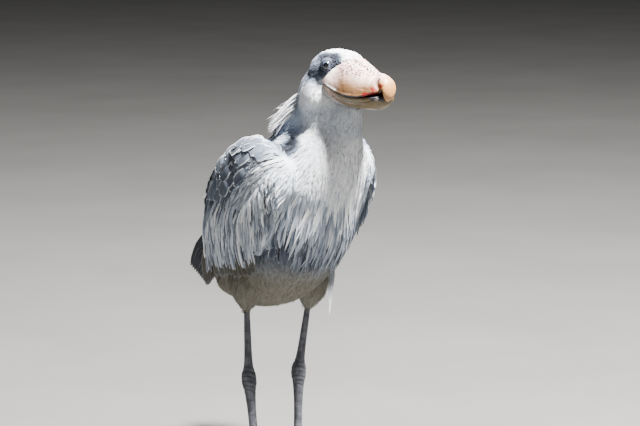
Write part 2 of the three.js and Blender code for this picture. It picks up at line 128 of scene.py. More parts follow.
# A limb or body: rings set along a smooth path and rounded off at both ends.
# Each station is [x, y, z, half width, reach to the top side, reach to the under side].
class Limb:
    def __init__(self, stations, caps=(0.2, 0.2), square=1.0, ridge=0, inHead=False):
        self.stations = np.asarray(stations, float)
        self.caps, self.square, self.ridge, self.inHead = caps, square, ridge, inHead

    def middle(self, u):
        return alongLine(self.stations[:, :3], u)

    def heading(self, u):
        u = np.asarray(u, float)
        return unit(self.middle(np.minimum(u + 1e-3, 1)) - self.middle(np.maximum(u - 1e-3, 0)))

    def rounding(self, u):
        start, end = self.caps
        short = np.where(u < start, 1 - u / start, np.where(u > 1 - end, 1 - (1 - u) / end, 0))
        return np.sqrt(np.maximum(0, 1 - short ** 2))

    def at(self, u, angle, grow=0.0):
        u, angle = np.broadcast_arrays(np.asarray(u, float), np.asarray(angle, float))
        along = self.heading(u)
        side = unit(np.array([1.0, 0, 0]) - along * along[..., :1])
        top = np.cross(side, along)
        reach = alongLine(self.stations[:, 3:], u)
        rounded = self.rounding(u)
        c, s = np.cos(angle), np.sin(angle)
        half = np.maximum(reach[..., 0] * rounded + grow, 0.4)
        deep = np.maximum(np.where(s > 0, reach[..., 1], reach[..., 2]) * rounded + grow, 0.4)
        across = np.sign(c) * np.abs(c) ** self.square * half
        up = np.sign(s) * np.abs(s) ** self.square * deep
        point = self.middle(u) + side * across[..., None] + top * up[..., None]
        if self.ridge:
            height = np.maximum(0, s * self.ridge)
            pinch = 0.34 if self.ridge > 0 else 0.34 - 0.24 * u
            point[..., 0] *= 1 - pinch * height ** 1.5
        return point

    def grid(self, sides, rings, grow=0.0):  # points and faces of the closed limb, in the drawing
        turn = np.pi * np.arange(1, rings) / rings
        u = (1 - np.cos(turn)) / 2
        angles = 2 * np.pi * np.arange(sides) / sides
        ringPoints = self.at(u[:, None], angles[None, :], grow)
        ringPoints = ringPoints - (self.heading(u) * (np.cos(turn) * grow)[:, None])[:, None, :]
        ends = self.middle(np.array([0.0,
                                     1.0])) + self.heading(np.array([0.0, 1.0])) * [[-grow], [grow]]
        points = np.concatenate([ringPoints.reshape(-1, 3), ends])
        faces = ringFaces(rings - 1, sides)
        first, final = len(points) - 2, len(points) - 1
        base = (rings - 2) * sides
        for k in range(sides):
            faces.append([first, (k + 1) % sides, k])
            faces.append([final, base + k, base + (k + 1) % sides])
        if self.inHead:
            points = fromHead(points)
        return points, faces


def joinShapes(shapes):
    points, faces, count = [], [], 0
    for p, f in shapes:
        points.append(p)
        faces += [[i + count for i in face] for face in f]
        count += len(p)
    return np.concatenate(points), faces


def newPiece(name, points, faces, finish=None):  # points in the drawing
    mesh = bpy.data.meshes.new(name)
    mesh.from_pydata(toFrame(points).tolist(), [], faces)
    mesh.validate()
    mesh.update()
    mesh.polygons.foreach_set("use_smooth", [True] * len(mesh.polygons))
    piece = bpy.data.objects.new(name, mesh)
    bpy.context.scene.collection.objects.link(piece)
    if finish:
        mesh.materials.append(finish)
    return piece


def settle(piece):  # applies the modifiers of a piece
    graph = bpy.context.evaluated_depsgraph_get()
    made = bpy.data.meshes.new_from_object(piece.evaluated_get(graph))
    old = piece.data
    made.name = piece.name
    piece.modifiers.clear()
    piece.data = made
    bpy.data.meshes.remove(old)


def fuse(piece, grain, rounds):  # one closed surface from crossing ones
    melt = piece.modifiers.new("melt", "REMESH")
    melt.mode = "VOXEL"
    melt.voxel_size = grain
    melt.use_smooth_shade = True
    ease = piece.modifiers.new("ease", "SMOOTH")
    ease.factor = 0.5
    ease.iterations = rounds
    settle(piece)


def pointsOf(piece):
    co = np.zeros(len(piece.data.vertices) * 3, np.float32)
    piece.data.vertices.foreach_get("co", co)
    return toDrawing(co.reshape(-1, 3).astype(float))


def normalsOf(piece):
    normals = np.zeros(len(piece.data.vertices) * 3, np.float32)
    piece.data.vertices.foreach_get("normal", normals)
    return normals.reshape(-1, 3).astype(float)


def treeOf(piece):  # for finding the nearest place on a piece
    return BVHTree.FromPolygons([Vector(p) for p in pointsOf(piece)],
                                [tuple(f.vertices) for f in piece.data.polygons])


def movePoints(piece, points):
    piece.data.vertices.foreach_set("co", toFrame(points).astype(np.float32).ravel())
    piece.data.update()


def easeSkin(piece, where, rounds):  # evens out a surface where asked
    points = pointsOf(piece)
    size = len(points)
    pairs = np.zeros(len(piece.data.edges) * 2, np.int32)
    piece.data.edges.foreach_get("vertices", pairs)
    a, b = pairs.reshape(-1, 2).T
    share = 0.5 * where(points)[:, None]
    count = np.maximum(np.bincount(a, minlength=size) + np.bincount(b, minlength=size), 1)[:, None]
    for _ in range(rounds):
        total = np.stack([np.bincount(a, points[b, k], size) + np.bincount(b, points[a, k], size)
                          for k in range(3)], -1)
        points = points + share * (total / count - points)
    movePoints(piece, points)


def setPaint(piece, name, values):  # a value of four numbers at every point of a piece
    layer = piece.data.attributes.new(name, "FLOAT_COLOR", "POINT")
    layer.data.foreach_set("color", np.asarray(values, np.float32).ravel())


def setValue(piece, name, values):  # one number at every point of a piece
    layer = piece.data.attributes.new(name, "FLOAT", "POINT")
    layer.data.foreach_set("value", values.astype(np.float32))


def unwrap(piece):
    bpy.ops.object.select_all(action="DESELECT")
    bpy.context.view_layer.objects.active = piece
    piece.select_set(True)
    piece.data.uv_layers.new(name="OFBake")
    bpy.ops.object.mode_set(mode="EDIT")
    bpy.ops.mesh.select_all(action="SELECT")
    bpy.ops.uv.smart_project(angle_limit=math.radians(60), island_margin=0.002)
    bpy.ops.object.mode_set(mode="OBJECT")


def wobble(points, size, seed=0.0):  # a smooth noise of about -1 to 1
    p = np.asarray(points, float) / size + seed * 7.31
    x, y, z = p[..., 0], p[..., 1], p[..., 2]
    return (np.sin(x * 1.7 + 1.3 * np.sin(y * 1.1 + seed)) * np.cos(y * 1.3 - z * 0.7)
            + np.sin(z * 1.9 + x * 0.8 + 1.1 * np.sin(x * 0.9 + z * 0.6)) * np.cos(x * 0.6 + y * 1.6)) / 1.6


# Finishes.

def nodeMaker(name, roughness, specular=0.5):
    made = bpy.data.materials.new(name)
    made.use_nodes = True
    tree = made.node_tree
    shader = tree.nodes["Principled BSDF"]
    shader.inputs["Roughness"].default_value = roughness
    shader.inputs["Specular IOR Level"].default_value = specular

    def put(kind, inputs=(), **settings):
        node = tree.nodes.new(kind)
        for key, value in settings.items():
            setattr(node, key, value)
        for key, value in dict(inputs).items():
            if isinstance(value, bpy.types.NodeSocket):
                tree.links.new(value, node.inputs[key])
            else:
                node.inputs[key].default_value = value
        return node
    return made, tree, shader, put


def stepNode(put, value, low, high):
    return put("ShaderNodeMapRange", {0: value, 1: low, 2: high},
               interpolation_type="SMOOTHSTEP").outputs[0]


def mathNode(put, operation, a, b=0.0, clamp=False):
    return put("ShaderNodeMath", {0: a, 1: b}, operation=operation, use_clamp=clamp).outputs[0]


def mixNode(put, share, a, b, blend="MIX"):
    node = put("ShaderNodeMix", {0: share, 6: a, 7: b}, data_type="RGBA", blend_type=blend)
    return node.outputs[2]


def rampNode(put, value, stops):
    node = put("ShaderNodeValToRGB", {0: value})
    ramp = node.color_ramp
    while len(ramp.elements) < len(stops):
        ramp.elements.new(0.5)
    for element, (place, colour) in zip(ramp.elements, stops):
        element.position = place
        element.color = colour
    return node.outputs[0]


def colour(red, green, blue):  # from the 0 to 255 of a paint chart
    return tuple((v / 255 / 12.92 if v <= 10 else ((v / 255 + 0.055) / 1.055) ** 2.4)
                 for v in (red, green, blue)) + (1.0,)


plumageTones = [  # from the palest feathers to the darkest
    (0.0, colour(236, 237, 239)),
    (0.25, colour(176, 185, 198)),
    (0.5, colour(112, 122, 138)),
    (0.75, colour(64, 71, 84)),
    (1.0, colour(22, 24, 31)),
]


# The plume value of a point: along the feather, across it, chance of that feather, tone there.
def plumageFinish(name, fringe=0.0, shaft=0.0, variety=0.16, root=0.25, barbs=0.3, roughness=0.85):
    made, tree, shader, put = nodeMaker(name, roughness, 0.15)
    shader.inputs["Sheen Weight"].default_value = 0.04
    shader.inputs["Sheen Roughness"].default_value = 0.6
    plume = put("ShaderNodeAttribute", attribute_name="plume")
    parts = put("ShaderNodeSeparateColor", {0: plume.outputs["Color"]})
    along, across, chance = parts.outputs[0], parts.outputs[1], parts.outputs[2]
    warm = put("ShaderNodeAttribute", attribute_name="warmth").outputs["Fac"]
    place = put("ShaderNodeTexCoord").outputs["Object"]
    blotch = put("ShaderNodeTexNoise", {"Vector": place, "Scale": 21.0, "Detail": 4.0}).outputs[0]
    fine = put("ShaderNodeTexNoise", {"Vector": place, "Scale": 260.0, "Detail": 3.0}).outputs[0]
    drift = mathNode(put, "MULTIPLY", mathNode(put, "SUBTRACT", blotch, 0.5), 0.22)
    luck = mathNode(put, "MULTIPLY", mathNode(put, "SUBTRACT", chance, 0.5), variety)
    tone = mathNode(put, "ADD", mathNode(put, "ADD", plume.outputs["Alpha"], drift), luck, clamp=True)
    base = rampNode(put, tone, plumageTones)
    buff = mixNode(put, 0.78, base, colour(120, 109, 76))
    base = mixNode(put, warm, base, buff)
    centred = put("ShaderNodeMath", {0: across, 1: 2.0, 2: -1.0}, operation="MULTIPLY_ADD").outputs[0]
    edge = mathNode(put, "ABSOLUTE", centred)
    # darker towards each feather's root: partly its grey base, partly painted shade under the feathers above
    if root:
        rootGreyAndShade = mathNode(put, "MULTIPLY", mathNode(put, "SUBTRACT", 1.0, stepNode(put, along, 0.0, 0.55)),
                       root)
        base = mixNode(put, rootGreyAndShade, base, colour(92, 98, 110))
    if shaft:
        quill = mathNode(put, "SUBTRACT", 1.0, stepNode(put, edge, 0.02, 0.3))
        base = mixNode(put, mathNode(put, "MULTIPLY", quill, shaft), base, colour(62, 68, 80))
    if fringe:
        rim = mathNode(put, "MAXIMUM", stepNode(put, edge, 0.72, 0.98), stepNode(put, along, 0.9, 0.99))
        base = mixNode(put, mathNode(put, "MULTIPLY", rim, fringe), base, colour(214, 219, 225))
    base = mixNode(put, mathNode(put, "MULTIPLY", fine, 0.22), base, colour(120, 124, 130), "OVERLAY")
    tree.links.new(base, shader.inputs["Base Color"])
    if barbs:
        lines = put("ShaderNodeCombineXYZ", {0: mathNode(put, "MULTIPLY", mathNode(
            put, "ADD", mathNode(put, "MULTIPLY", along, 1.6), edge), 26.0), 1: chance}).outputs[0]
        comb = put("ShaderNodeTexNoise", {"Vector": lines, "Scale": 1.0, "Detail": 2.0}).outputs[0]
        bump = put("ShaderNodeBump", {"Height": comb, "Strength": barbs, "Distance": 0.001}).outputs[0]
        tree.links.new(bump, shader.inputs["Normal"])
    return made


# The forms of the body, as the source draws them.

torso = Limb([
    [0, -150, 872, 64, 84, 80], [0, -118, 802, 106, 138, 130], [0, -78, 728, 122, 160, 168],
    [0, -28, 662, 126, 158, 184], [0, 34, 610, 121, 140, 188], [0, 104, 572, 106, 108, 174],
    [0, 176, 546, 86, 66, 149], [0, 246, 518, 54, 14, 96]], (0.12, 0.13))
tailStump = Limb([
    [0, 168, 612, 26, 12, 22], [0, 200, 582, 38, 12, 20], [0, 228, 548, 42, 8, 14]], (0.2, 0.3))
wingStations = [
    [118, -186, 794, 28, 54, 50], [130, -120, 764, 36, 124, 90], [133, -42, 722, 35, 144, 148],
    [129, 30, 680, 31, 138, 174], [122, 95, 625, 25, 106, 128], [110, 155, 570, 16, 48, 82],
    [100, 205, 520, 10, 32, 58], [93, 240, 474, 5, 28, 34]]
shoulderRise = [22, 12]  # the left shoulder is held a little higher
legs = {
    "right": {"side": -1, "knee": [-68, 66, 470], "ankle": [-68, 57, 238], "foot": [-68, 26, 15]},
    "left": {"side": 1, "knee": [70, -21, 470], "ankle": [66, 23, 245], "foot": [66, 28, 15]},
}


def wingShape(side):
    rows = [list(s) for s in wingStations]
    for i, row in enumerate(rows):
        row[0] *= side
        row[2] += shoulderRise[i] if side > 0 and i < 2 else 0
    return rows


def wingCore(side):
    return Limb([[x, y, z, half - 4, top - 8 - 5 * i, under - 10 - 9 * i]
                 for i, (x, y, z, half, top, under) in enumerate(wingShape(side)[:6])],
                (0.16, 0.2), 0.9)


def down(start, end, share):
    return [a + (b - a) * share for a, b in zip(start, end)]


def thighOf(leg):
    knee, ankle = leg["knee"], leg["ankle"]
    return Limb([
        [knee[0], knee[1] + 6, knee[2] + 70, 50, 60, 60], [*knee, 44, 52, 52],
        [*down(knee, ankle, 0.16), 31, 35, 35], [*down(knee, ankle, 0.28), 15, 17, 17],
        [*down(knee, ankle, 0.37), 11, 12, 12]], (0.2, 0.05))


# Bill, its forms.

billPlan = {
    "profile": [(-12, 54, -40), (22, 57, -51), (62, 58, -61), (97, 56, -66),
                (129, 50, -65.5), (153, 42, -60), (170, 34, -54), (182, 22, -48)],
    "culmen": [22, 24, 18, 6, -3, -7, -9, -12], "keel": [-80, -92, -99, -99, -98, -96, -88, -78],
    "tipDrop": [0, 0, 0, 0, 1, 4, 9, 12], "mouthGap": 0.9, "grain": 0.0014,
    "ridgeHalf": (15, 8), "ridgeRise": 1.5, "grooveDepth": 1.5, "lip": 0.9,
}
hookStations = [
    [0, -142, -27, 12, 12, 14], [0, -164, -28, 18, 14, 18], [0, -182, -35, 21, 12, 15],
    [0, -189, -48, 20, 10, 10], [0, -188, -62, 15, 7, 8], [0, -182, -76, 7, 2, 3]]


def billLimb(upper):
    rows = []
    for (ahead, width, edge), top, under, drop in zip(
            billPlan["profile"], billPlan["culmen"], billPlan["keel"], billPlan["tipDrop"]):
        edge = edge + billPlan["mouthGap"] if upper else edge - billPlan["mouthGap"] - drop
        rows.append([0, -ahead, edge, width if upper else width - 3,
                     top - edge if upper else 1.5, 1.5 if upper else edge - under])
    return Limb(rows[::-1], (0.1, 0.02) if upper else (0.16, 0.02), 0.85, 1 if upper else -1,
                inHead=True)


def billRead(key, ahead):  # a height of the bill's profile at a distance forward
    places, _, edges = zip(*billPlan["profile"])
    return np.interp(ahead, places, edges if key == "edge" else billPlan[key])


upperLimb, lowerLimb = billLimb(True), billLimb(False)
hookLimb = Limb(hookStations, (0.15, 0.1), inHead=True)

# Skin.

skinPlan = {"grain": 0.0045, "easeRounds": 8, "headDepth": -3.2, "neckDepth": -6, "bodyDepth": -8,
            "wingDepth": -3, "thighDepth": -11}


def cutAway(shape, tool):  # takes one closed shape out of another
    piece, knife = newPiece("cutShape", *shape), newPiece("knife", *tool)
    cut = piece.modifiers.new("cut", "BOOLEAN")
    cut.operation, cut.object, cut.solver = "DIFFERENCE", knife, "EXACT"
    settle(piece)
    left = pointsOf(piece), [list(p.vertices) for p in piece.data.polygons]
    for used in (piece, knife):
        bpy.data.meshes.remove(used.data)
    return left


# Soft forms that only the skin has: the neck in its plumage, the full chest below it, the
# slope from nape to back and the loose cheeks.
softHead = Limb([
    [0, -56, -14, 18, 18, 28], [0, -43, -14, 32, 32, 44], [0, -23, -16, 47, 47, 64],
    [0, 4, -20, 58, 54, 78], [0, 36, -24, 59, 55, 76], [0, 66, -32, 50, 46, 62],
    [0, 92, -44, 26, 22, 34]], (0.22, 0.22), inHead=True)
forehead = Limb([
    [0, -84, 1, 9, 12, 6], [0, -64, 2, 20, 19, 9], [0, -44, 2, 32, 25, 12], [0, -20, 1, 41, 30, 16],
    [0, 14, 2, 44, 30, 20]], (0.3, 0.2), inHead=True)
softNeck = Limb([
    [0, -156, 1040, 46, 46, 56], [0, -160, 1000, 59, 64, 88], [0, -166, 960, 62, 86, 112],
    [0, -176, 912, 59, 88, 104], [0, -178, 866, 64, 88, 98], [0, -160, 790, 84, 92, 96]], (0.2, 0.1))
chest = Limb([
    [0, -168, 916, 58, 60, 100], [0, -166, 862, 84, 80, 108], [0, -152, 796, 104, 90, 112],
    [0, -132, 724, 112, 100, 106], [0, -108, 650, 104, 100, 98]], (0.3, 0.3), 0.92)
nape = Limb([
    [0, -130, 946, 46, 28, 40], [0, -95, 912, 52, 32, 50], [0, -55, 878, 58, 28, 50],
    [0, -10, 846, 62, 14, 50]], (0.25, 0.3))
underTail = Limb([[0, 130, 478, 62, 60, 58], [0, 184, 464, 62, 56, 46], [0, 240, 456, 44, 36, 30]],
                 (0.3, 0.5))
cheeks = [Limb([
    [side * 31, 18, -34, 25, 26, 24], [side * 36, 32, -58, 34, 36, 34],
    [side * 38, 42, -84, 35, 38, 36],
    [side * 31, 46, -106, 25, 28, 26]], (0.3, 0.35), inHead=True) for side in (-1, 1)]
skinParts = {
    "head": [softHead.grid(56, 48, skinPlan["headDepth"]), forehead.grid(40, 40, -1.5)],
    "neck": [cutAway(softNeck.grid(40, 30, skinPlan["neckDepth"]), lowerLimb.grid(40, 40, 2.5))],
    "cheeks": [cutAway(cheek.grid(30, 24, -2), lowerLimb.grid(40, 40, 2.5)) for cheek in cheeks],
    "chest": [chest.grid(48, 40, skinPlan["bodyDepth"])],
    "nape": [nape.grid(36, 24, -4)],
    "underTail": [underTail.grid(36, 24, -6)],
    "torso": [torso.grid(60, 50, skinPlan["bodyDepth"])],
    "tail": [tailStump.grid(24, 16, -2)],
    "wing": [wingCore(side).grid(36, 30, skinPlan["wingDepth"]) for side in (-1, 1)],
    "thigh": [thighOf(leg).grid(30, 30, skinPlan["thighDepth"]) for leg in legs.values()],
}
skin = newPiece("skin", *joinShapes([s for shapes in skinParts.values() for s in shapes]))
fuse(skin, skinPlan["grain"], skinPlan["easeRounds"])
easeSkin(skin, lambda p: smoothStep(930, 890, p[:, 2]) * smoothStep(600, 680, p[:, 2])
         * smoothStep(-40, -90, p[:, 1]) * smoothStep(118, 92, np.abs(p[:, 0])), 60)
unwrap(skin)
report(f"skin of {len(skin.data.polygons)} faces")


# The lie of the coat, and its markings.

lieOfCoat = [  # a place on the left side, used on both, and the way the feathers run there
    ([0, -285, 1062], [0, 0.6, 0.8]), ([0, -250, 1086], [0, 1, 0.35]), ([0, -200, 1092], [0, 1, -0.1]),
    ([0, -150, 1066], [0, 0.8, -0.7]), ([0, -125, 1020], [0, 0.5, -1]),
    ([50, -240, 1045], [0.2, 1, 0.1]),
    ([58, -200, 1030], [0, 1, -0.35]), ([56, -225, 990], [0.2, 0.8, -0.7]),
    ([50, -190, 960], [0.1, 0.5, -0.9]),
    ([30, -265, 960], [0.1, 0.45, -0.8]), ([0, -270, 940], [0, 0.1, -1]),
    ([0, -260, 900], [0, 0.0, -1]),
    ([70, -190, 920], [0.15, 0.1, -1]), ([40, -110, 950], [0.1, 0.4, -1]),
    ([0, -60, 880], [0, 0.8, -0.6]),
    ([0, 60, 760], [0, 0.8, -0.65]), ([0, 180, 640], [0, 0.75, -0.7]), ([0, -235, 820], [0, 0.05, -1]),
    ([60, -220, 800], [0.15, 0.1, -1]), ([0, -235, 720], [0, 0.15, -1]),
    ([70, -200, 700], [0.05, 0.25, -1]),
    ([0, -190, 600], [0, 0.5, -0.85]), ([110, -100, 600], [0, 0.3, -1]),
    ([110, 20, 500], [0, 0.4, -0.9]),
    ([0, -100, 500], [0, 0.5, -0.8]), ([0, 40, 430], [0, 0.65, -0.7]), ([0, 150, 420], [0, 0.7, -0.7]),
    ([0, 230, 470], [0, 0.75, -0.7]), ([68, 20, 500], [0, 0.1, -1]), ([68, 30, 420], [0, 0.05, -1]),
    ([128, -196, 800], [0.1, 0.6, -0.8]), ([160, -100, 790], [0.05, 0.72, -0.75]),
    ([120, -170, 830], [0.1, 0.95, -0.2]),
    ([134, -120, 850], [0, 1, -0.15]), ([136, -70, 862], [0, 1, -0.3]),
    ([134, -20, 846], [0, 0.9, -0.45]),
    ([165, -60, 700], [0, 0.5, -0.9]), ([160, 20, 780], [0, 0.75, -0.7]),
    ([160, 40, 660], [0, 0.42, -0.9]),
    ([150, 90, 600], [0, 0.4, -0.9]), ([140, 150, 560], [0, 0.6, -0.8]),
]
liePlaces = np.array([[side * p[0], p[1], p[2]] for p, d in lieOfCoat for side in (-1, 1)], float)
lieWays = unit(np.array([[side * d[0], d[1], d[2]] for p, d in lieOfCoat for side in (-1, 1)], float))


def lieAt(points, out, reach=52.0):
    flow = np.zeros_like(points)
    for place, way in zip(liePlaces, lieWays):
        gap2 = np.sum((points - place) ** 2, -1)
        flow += np.exp(-gap2 / (2 * reach ** 2))[..., None] * way + 1e-9 * way
    flow -= out * np.sum(flow * out, -1, keepdims=True)
    return unit(flow)


edgeLine = [[-162, 668], [-116, 604], [-56, 540], [20, 516], [90, 504], [150, 490], [190, 470]]


def scapularEdge(y):  # the height on the wing, in the side view, where the broad dark feathers end
    return np.interp(y, [-150, -90, -30, 113, 170], [834, 800, 746, 664, 610])


headMarksLightAndShade = [  # centre and reach in the head's frame, for either side, and the tone there; the dark marks round the eye, brow and ear are painted shade, the pale crown and cheeks partly their own pale plumage and partly painted light
    ([0, -20, 48], [60, 90, 30], 0.0), ([52, 44, -14], [30, 50, 28], 0.6),
    ([46, -30, 2], [20, 28, 18], 0.86),
    ([48, -12, 20], [26, 58, 15], 0.97), ([52, 4, -12], [22, 34, 16], 0.74),
    ([0, -66, 20], [34, 30, 20], 0.0),
    ([54, 44, -84], [34, 52, 36], 0.02), ([46, -8, -68], [24, 34, 34], 0.04),
]


bodyMarksLightAndShade = [  # in the drawing: painted shade in the hollows between neck and shoulders, the sides of the nape, and the pale chest front, partly its own paler plumage and partly painted light
    ([-84, -128, 856], [26, 44, 36], 0.95), ([84, -128, 868], [26, 44, 36], 0.9),
    ([0, -78, 880], [70, 30, 30], 0.5), ([0, -262, 806], [90, 70, 78], 0.03),
]


def toneAt(points):  # the markings, which skin and coat share, with painted light and painted shade on the chest, breast, neck hollows and head
    x, y, z = points.T
    base = 0.34 + 0.04 * wobble(points, 60, 3)
    # Paler on the chest front, partly its own paler plumage and partly painted light; darker low on the
    # breast, painted shade where it faces down.
    base = base - 0.22 * smoothStep(-110, -170,
                                    y) * smoothStep(690, 745, z) + 0.44 * smoothStep(704, 610, z)
    belly = smoothStep(620, 520, z) * smoothStep(135, 105, np.abs(x))
    base = blend(base, 0.42, belly)
    back = smoothStep(-70, 10, y) * smoothStep(560, 640, z)
    base = blend(base, 0.66, back)
    onWing = smoothStep(96, 118, np.abs(x)) * smoothStep(540, 560, z)
    above = z - scapularEdge(y)
    dark = smoothStep(-22, 4, above)
    folded = 0.36 + 0.34 * dark - 0.16 * smoothStep(-30, -120,
                                                    y) + 0.06 * (1 - dark) * smoothStep(-60, -110, above)
    base = blend(base, folded, onWing)
    # painted shade in the hollows and painted light on the chest front, laid on with the other marks
    for centre, reach, tone in bodyMarksLightAndShade:
        base = blend(base, tone, smoothStep(1.2, 0.6, missOf(points, centre, reach)))
    head = toHead(points)
    head[:, 0] = np.abs(head[:, 0])
    onHead = smoothStep(930, 965, z) * smoothStep(-120, -135, y)
    spots = np.full(len(points), 0.24)
    # painted shade round the eye, brow and ear, and partly painted light on the crown and cheeks
    for centre, reach, tone in headMarksLightAndShade:
        miss = missOf(head, centre, reach) + 0.15 * wobble(points, 12, 5)
        spots = blend(spots, tone, smoothStep(1.25, 0.7, miss))
    return np.clip(blend(base, spots, onHead), 0, 1)


def warmthAt(points):
    x, y, z = points.T
    return np.clip(smoothStep(600, 500, z) * smoothStep(140, 110, np.abs(x)) * 0.9, 0, 1)


# Where feathers grow.

skinPoints, skinNormals, skinTree = pointsOf(skin), normalsOf(skin), treeOf(skin)
skinFaces = [tuple(p.vertices) for p in skin.data.polygons]
faceCorners = np.array([f if len(f) == 4 else (*f, f[-1]) for f in skinFaces])
faceLoops = np.array([p.loop_start for p in skin.data.polygons])
skinUv = np.zeros(len(skin.data.loops) * 2, np.float32)
skin.data.uv_layers["OFBake"].data.foreach_get("uv", skinUv)
faceUv = skinUv.reshape(-1, 2)[faceLoops[:, None] + np.arange(3)].mean(1)
cornerPoints = skinPoints[faceCorners]
faceArea = 0.5 * np.linalg.norm(np.cross(cornerPoints[:, 2] - cornerPoints[:, 0],
                                         cornerPoints[:, 3] - cornerPoints[:, 1]), axis=1)
faceMiddle = cornerPoints.mean(1)


def scatter(wanted, spacing, seed):  # roots spread over the skin, none closer than the spacing
    rng = np.random.default_rng(seed)
    density = faceArea * wanted(faceMiddle) / (0.70 * (spacing * spacing))
    tries = int(density.sum() * 4.5)
    picks = rng.choice(len(density), tries, p=density / density.sum())
    a, b = rng.random(tries)[:, None], rng.random(tries)[:, None]
    c = cornerPoints[picks]
    places = (c[:, 0] * (1 - a) + c[:, 1] * a) * (1 - b) + (c[:, 3] * (1 - a) + c[:, 2] * a) * b
    tree = KDTree(tries)
    for i, place in enumerate(places.tolist()):
        tree.insert(place, i)
    tree.balance()
    gone = np.zeros(tries, bool)
    keep = []
    for i in range(tries):
        if not gone[i]:
            keep.append(i)
            for _, j, _ in tree.find_range(places[i].tolist(), float(spacing)):
                gone[j] = True
    faces = picks[keep]
    out = unit(skinNormals[faceCorners[faces]].mean(1))
    return {"root": places[keep], "out": out, "uv": faceUv[faces], "lie": lieAt(places[keep], out)}


def nearestSkin(places):  # the skin's nearest points, and their faces
    found = [skinTree.find_nearest(p) for p in np.asarray(places, float).tolist()]
    return np.array([f[0] for f in found]), np.array([f[2] for f in found])


def placed(places):  # roots on the skin nearest to the places given
    roots, faces = nearestSkin(places)
    out = unit(skinNormals[faceCorners[faces]].mean(1))
    return {"root": roots, "out": out, "uv": faceUv[faces], "lie": lieAt(roots, out)}


def kept(spots, keep):
    return {key: value[keep] for key, value in spots.items()}


# Quills: each starts at its root and runs over the skin along the lie, then leaves it by the cling.
def trail(spots, length, cling, follow=0.5):
    place, out, way = spots["root"], spots["out"], spots["lie"]
    line, outs = [place], [out]
    for hold in cling:
        ahead = place + way * (length / len(cling))[:, None]
        onSkin, faces = nearestSkin(ahead)
        out = unit(out * (1 - hold) + skinNormals[faceCorners[faces]].mean(1) * hold)
        onward = ahead * (1 - hold) + onSkin * hold
        way = unit(unit(onward - place) * (1 - follow) + lieAt(onward, out) * follow)
        place = onward
        line.append(place)
        outs.append(out)
    return np.array(line), np.array(outs)


coatSize = {"faces": 0, "most": 190000}


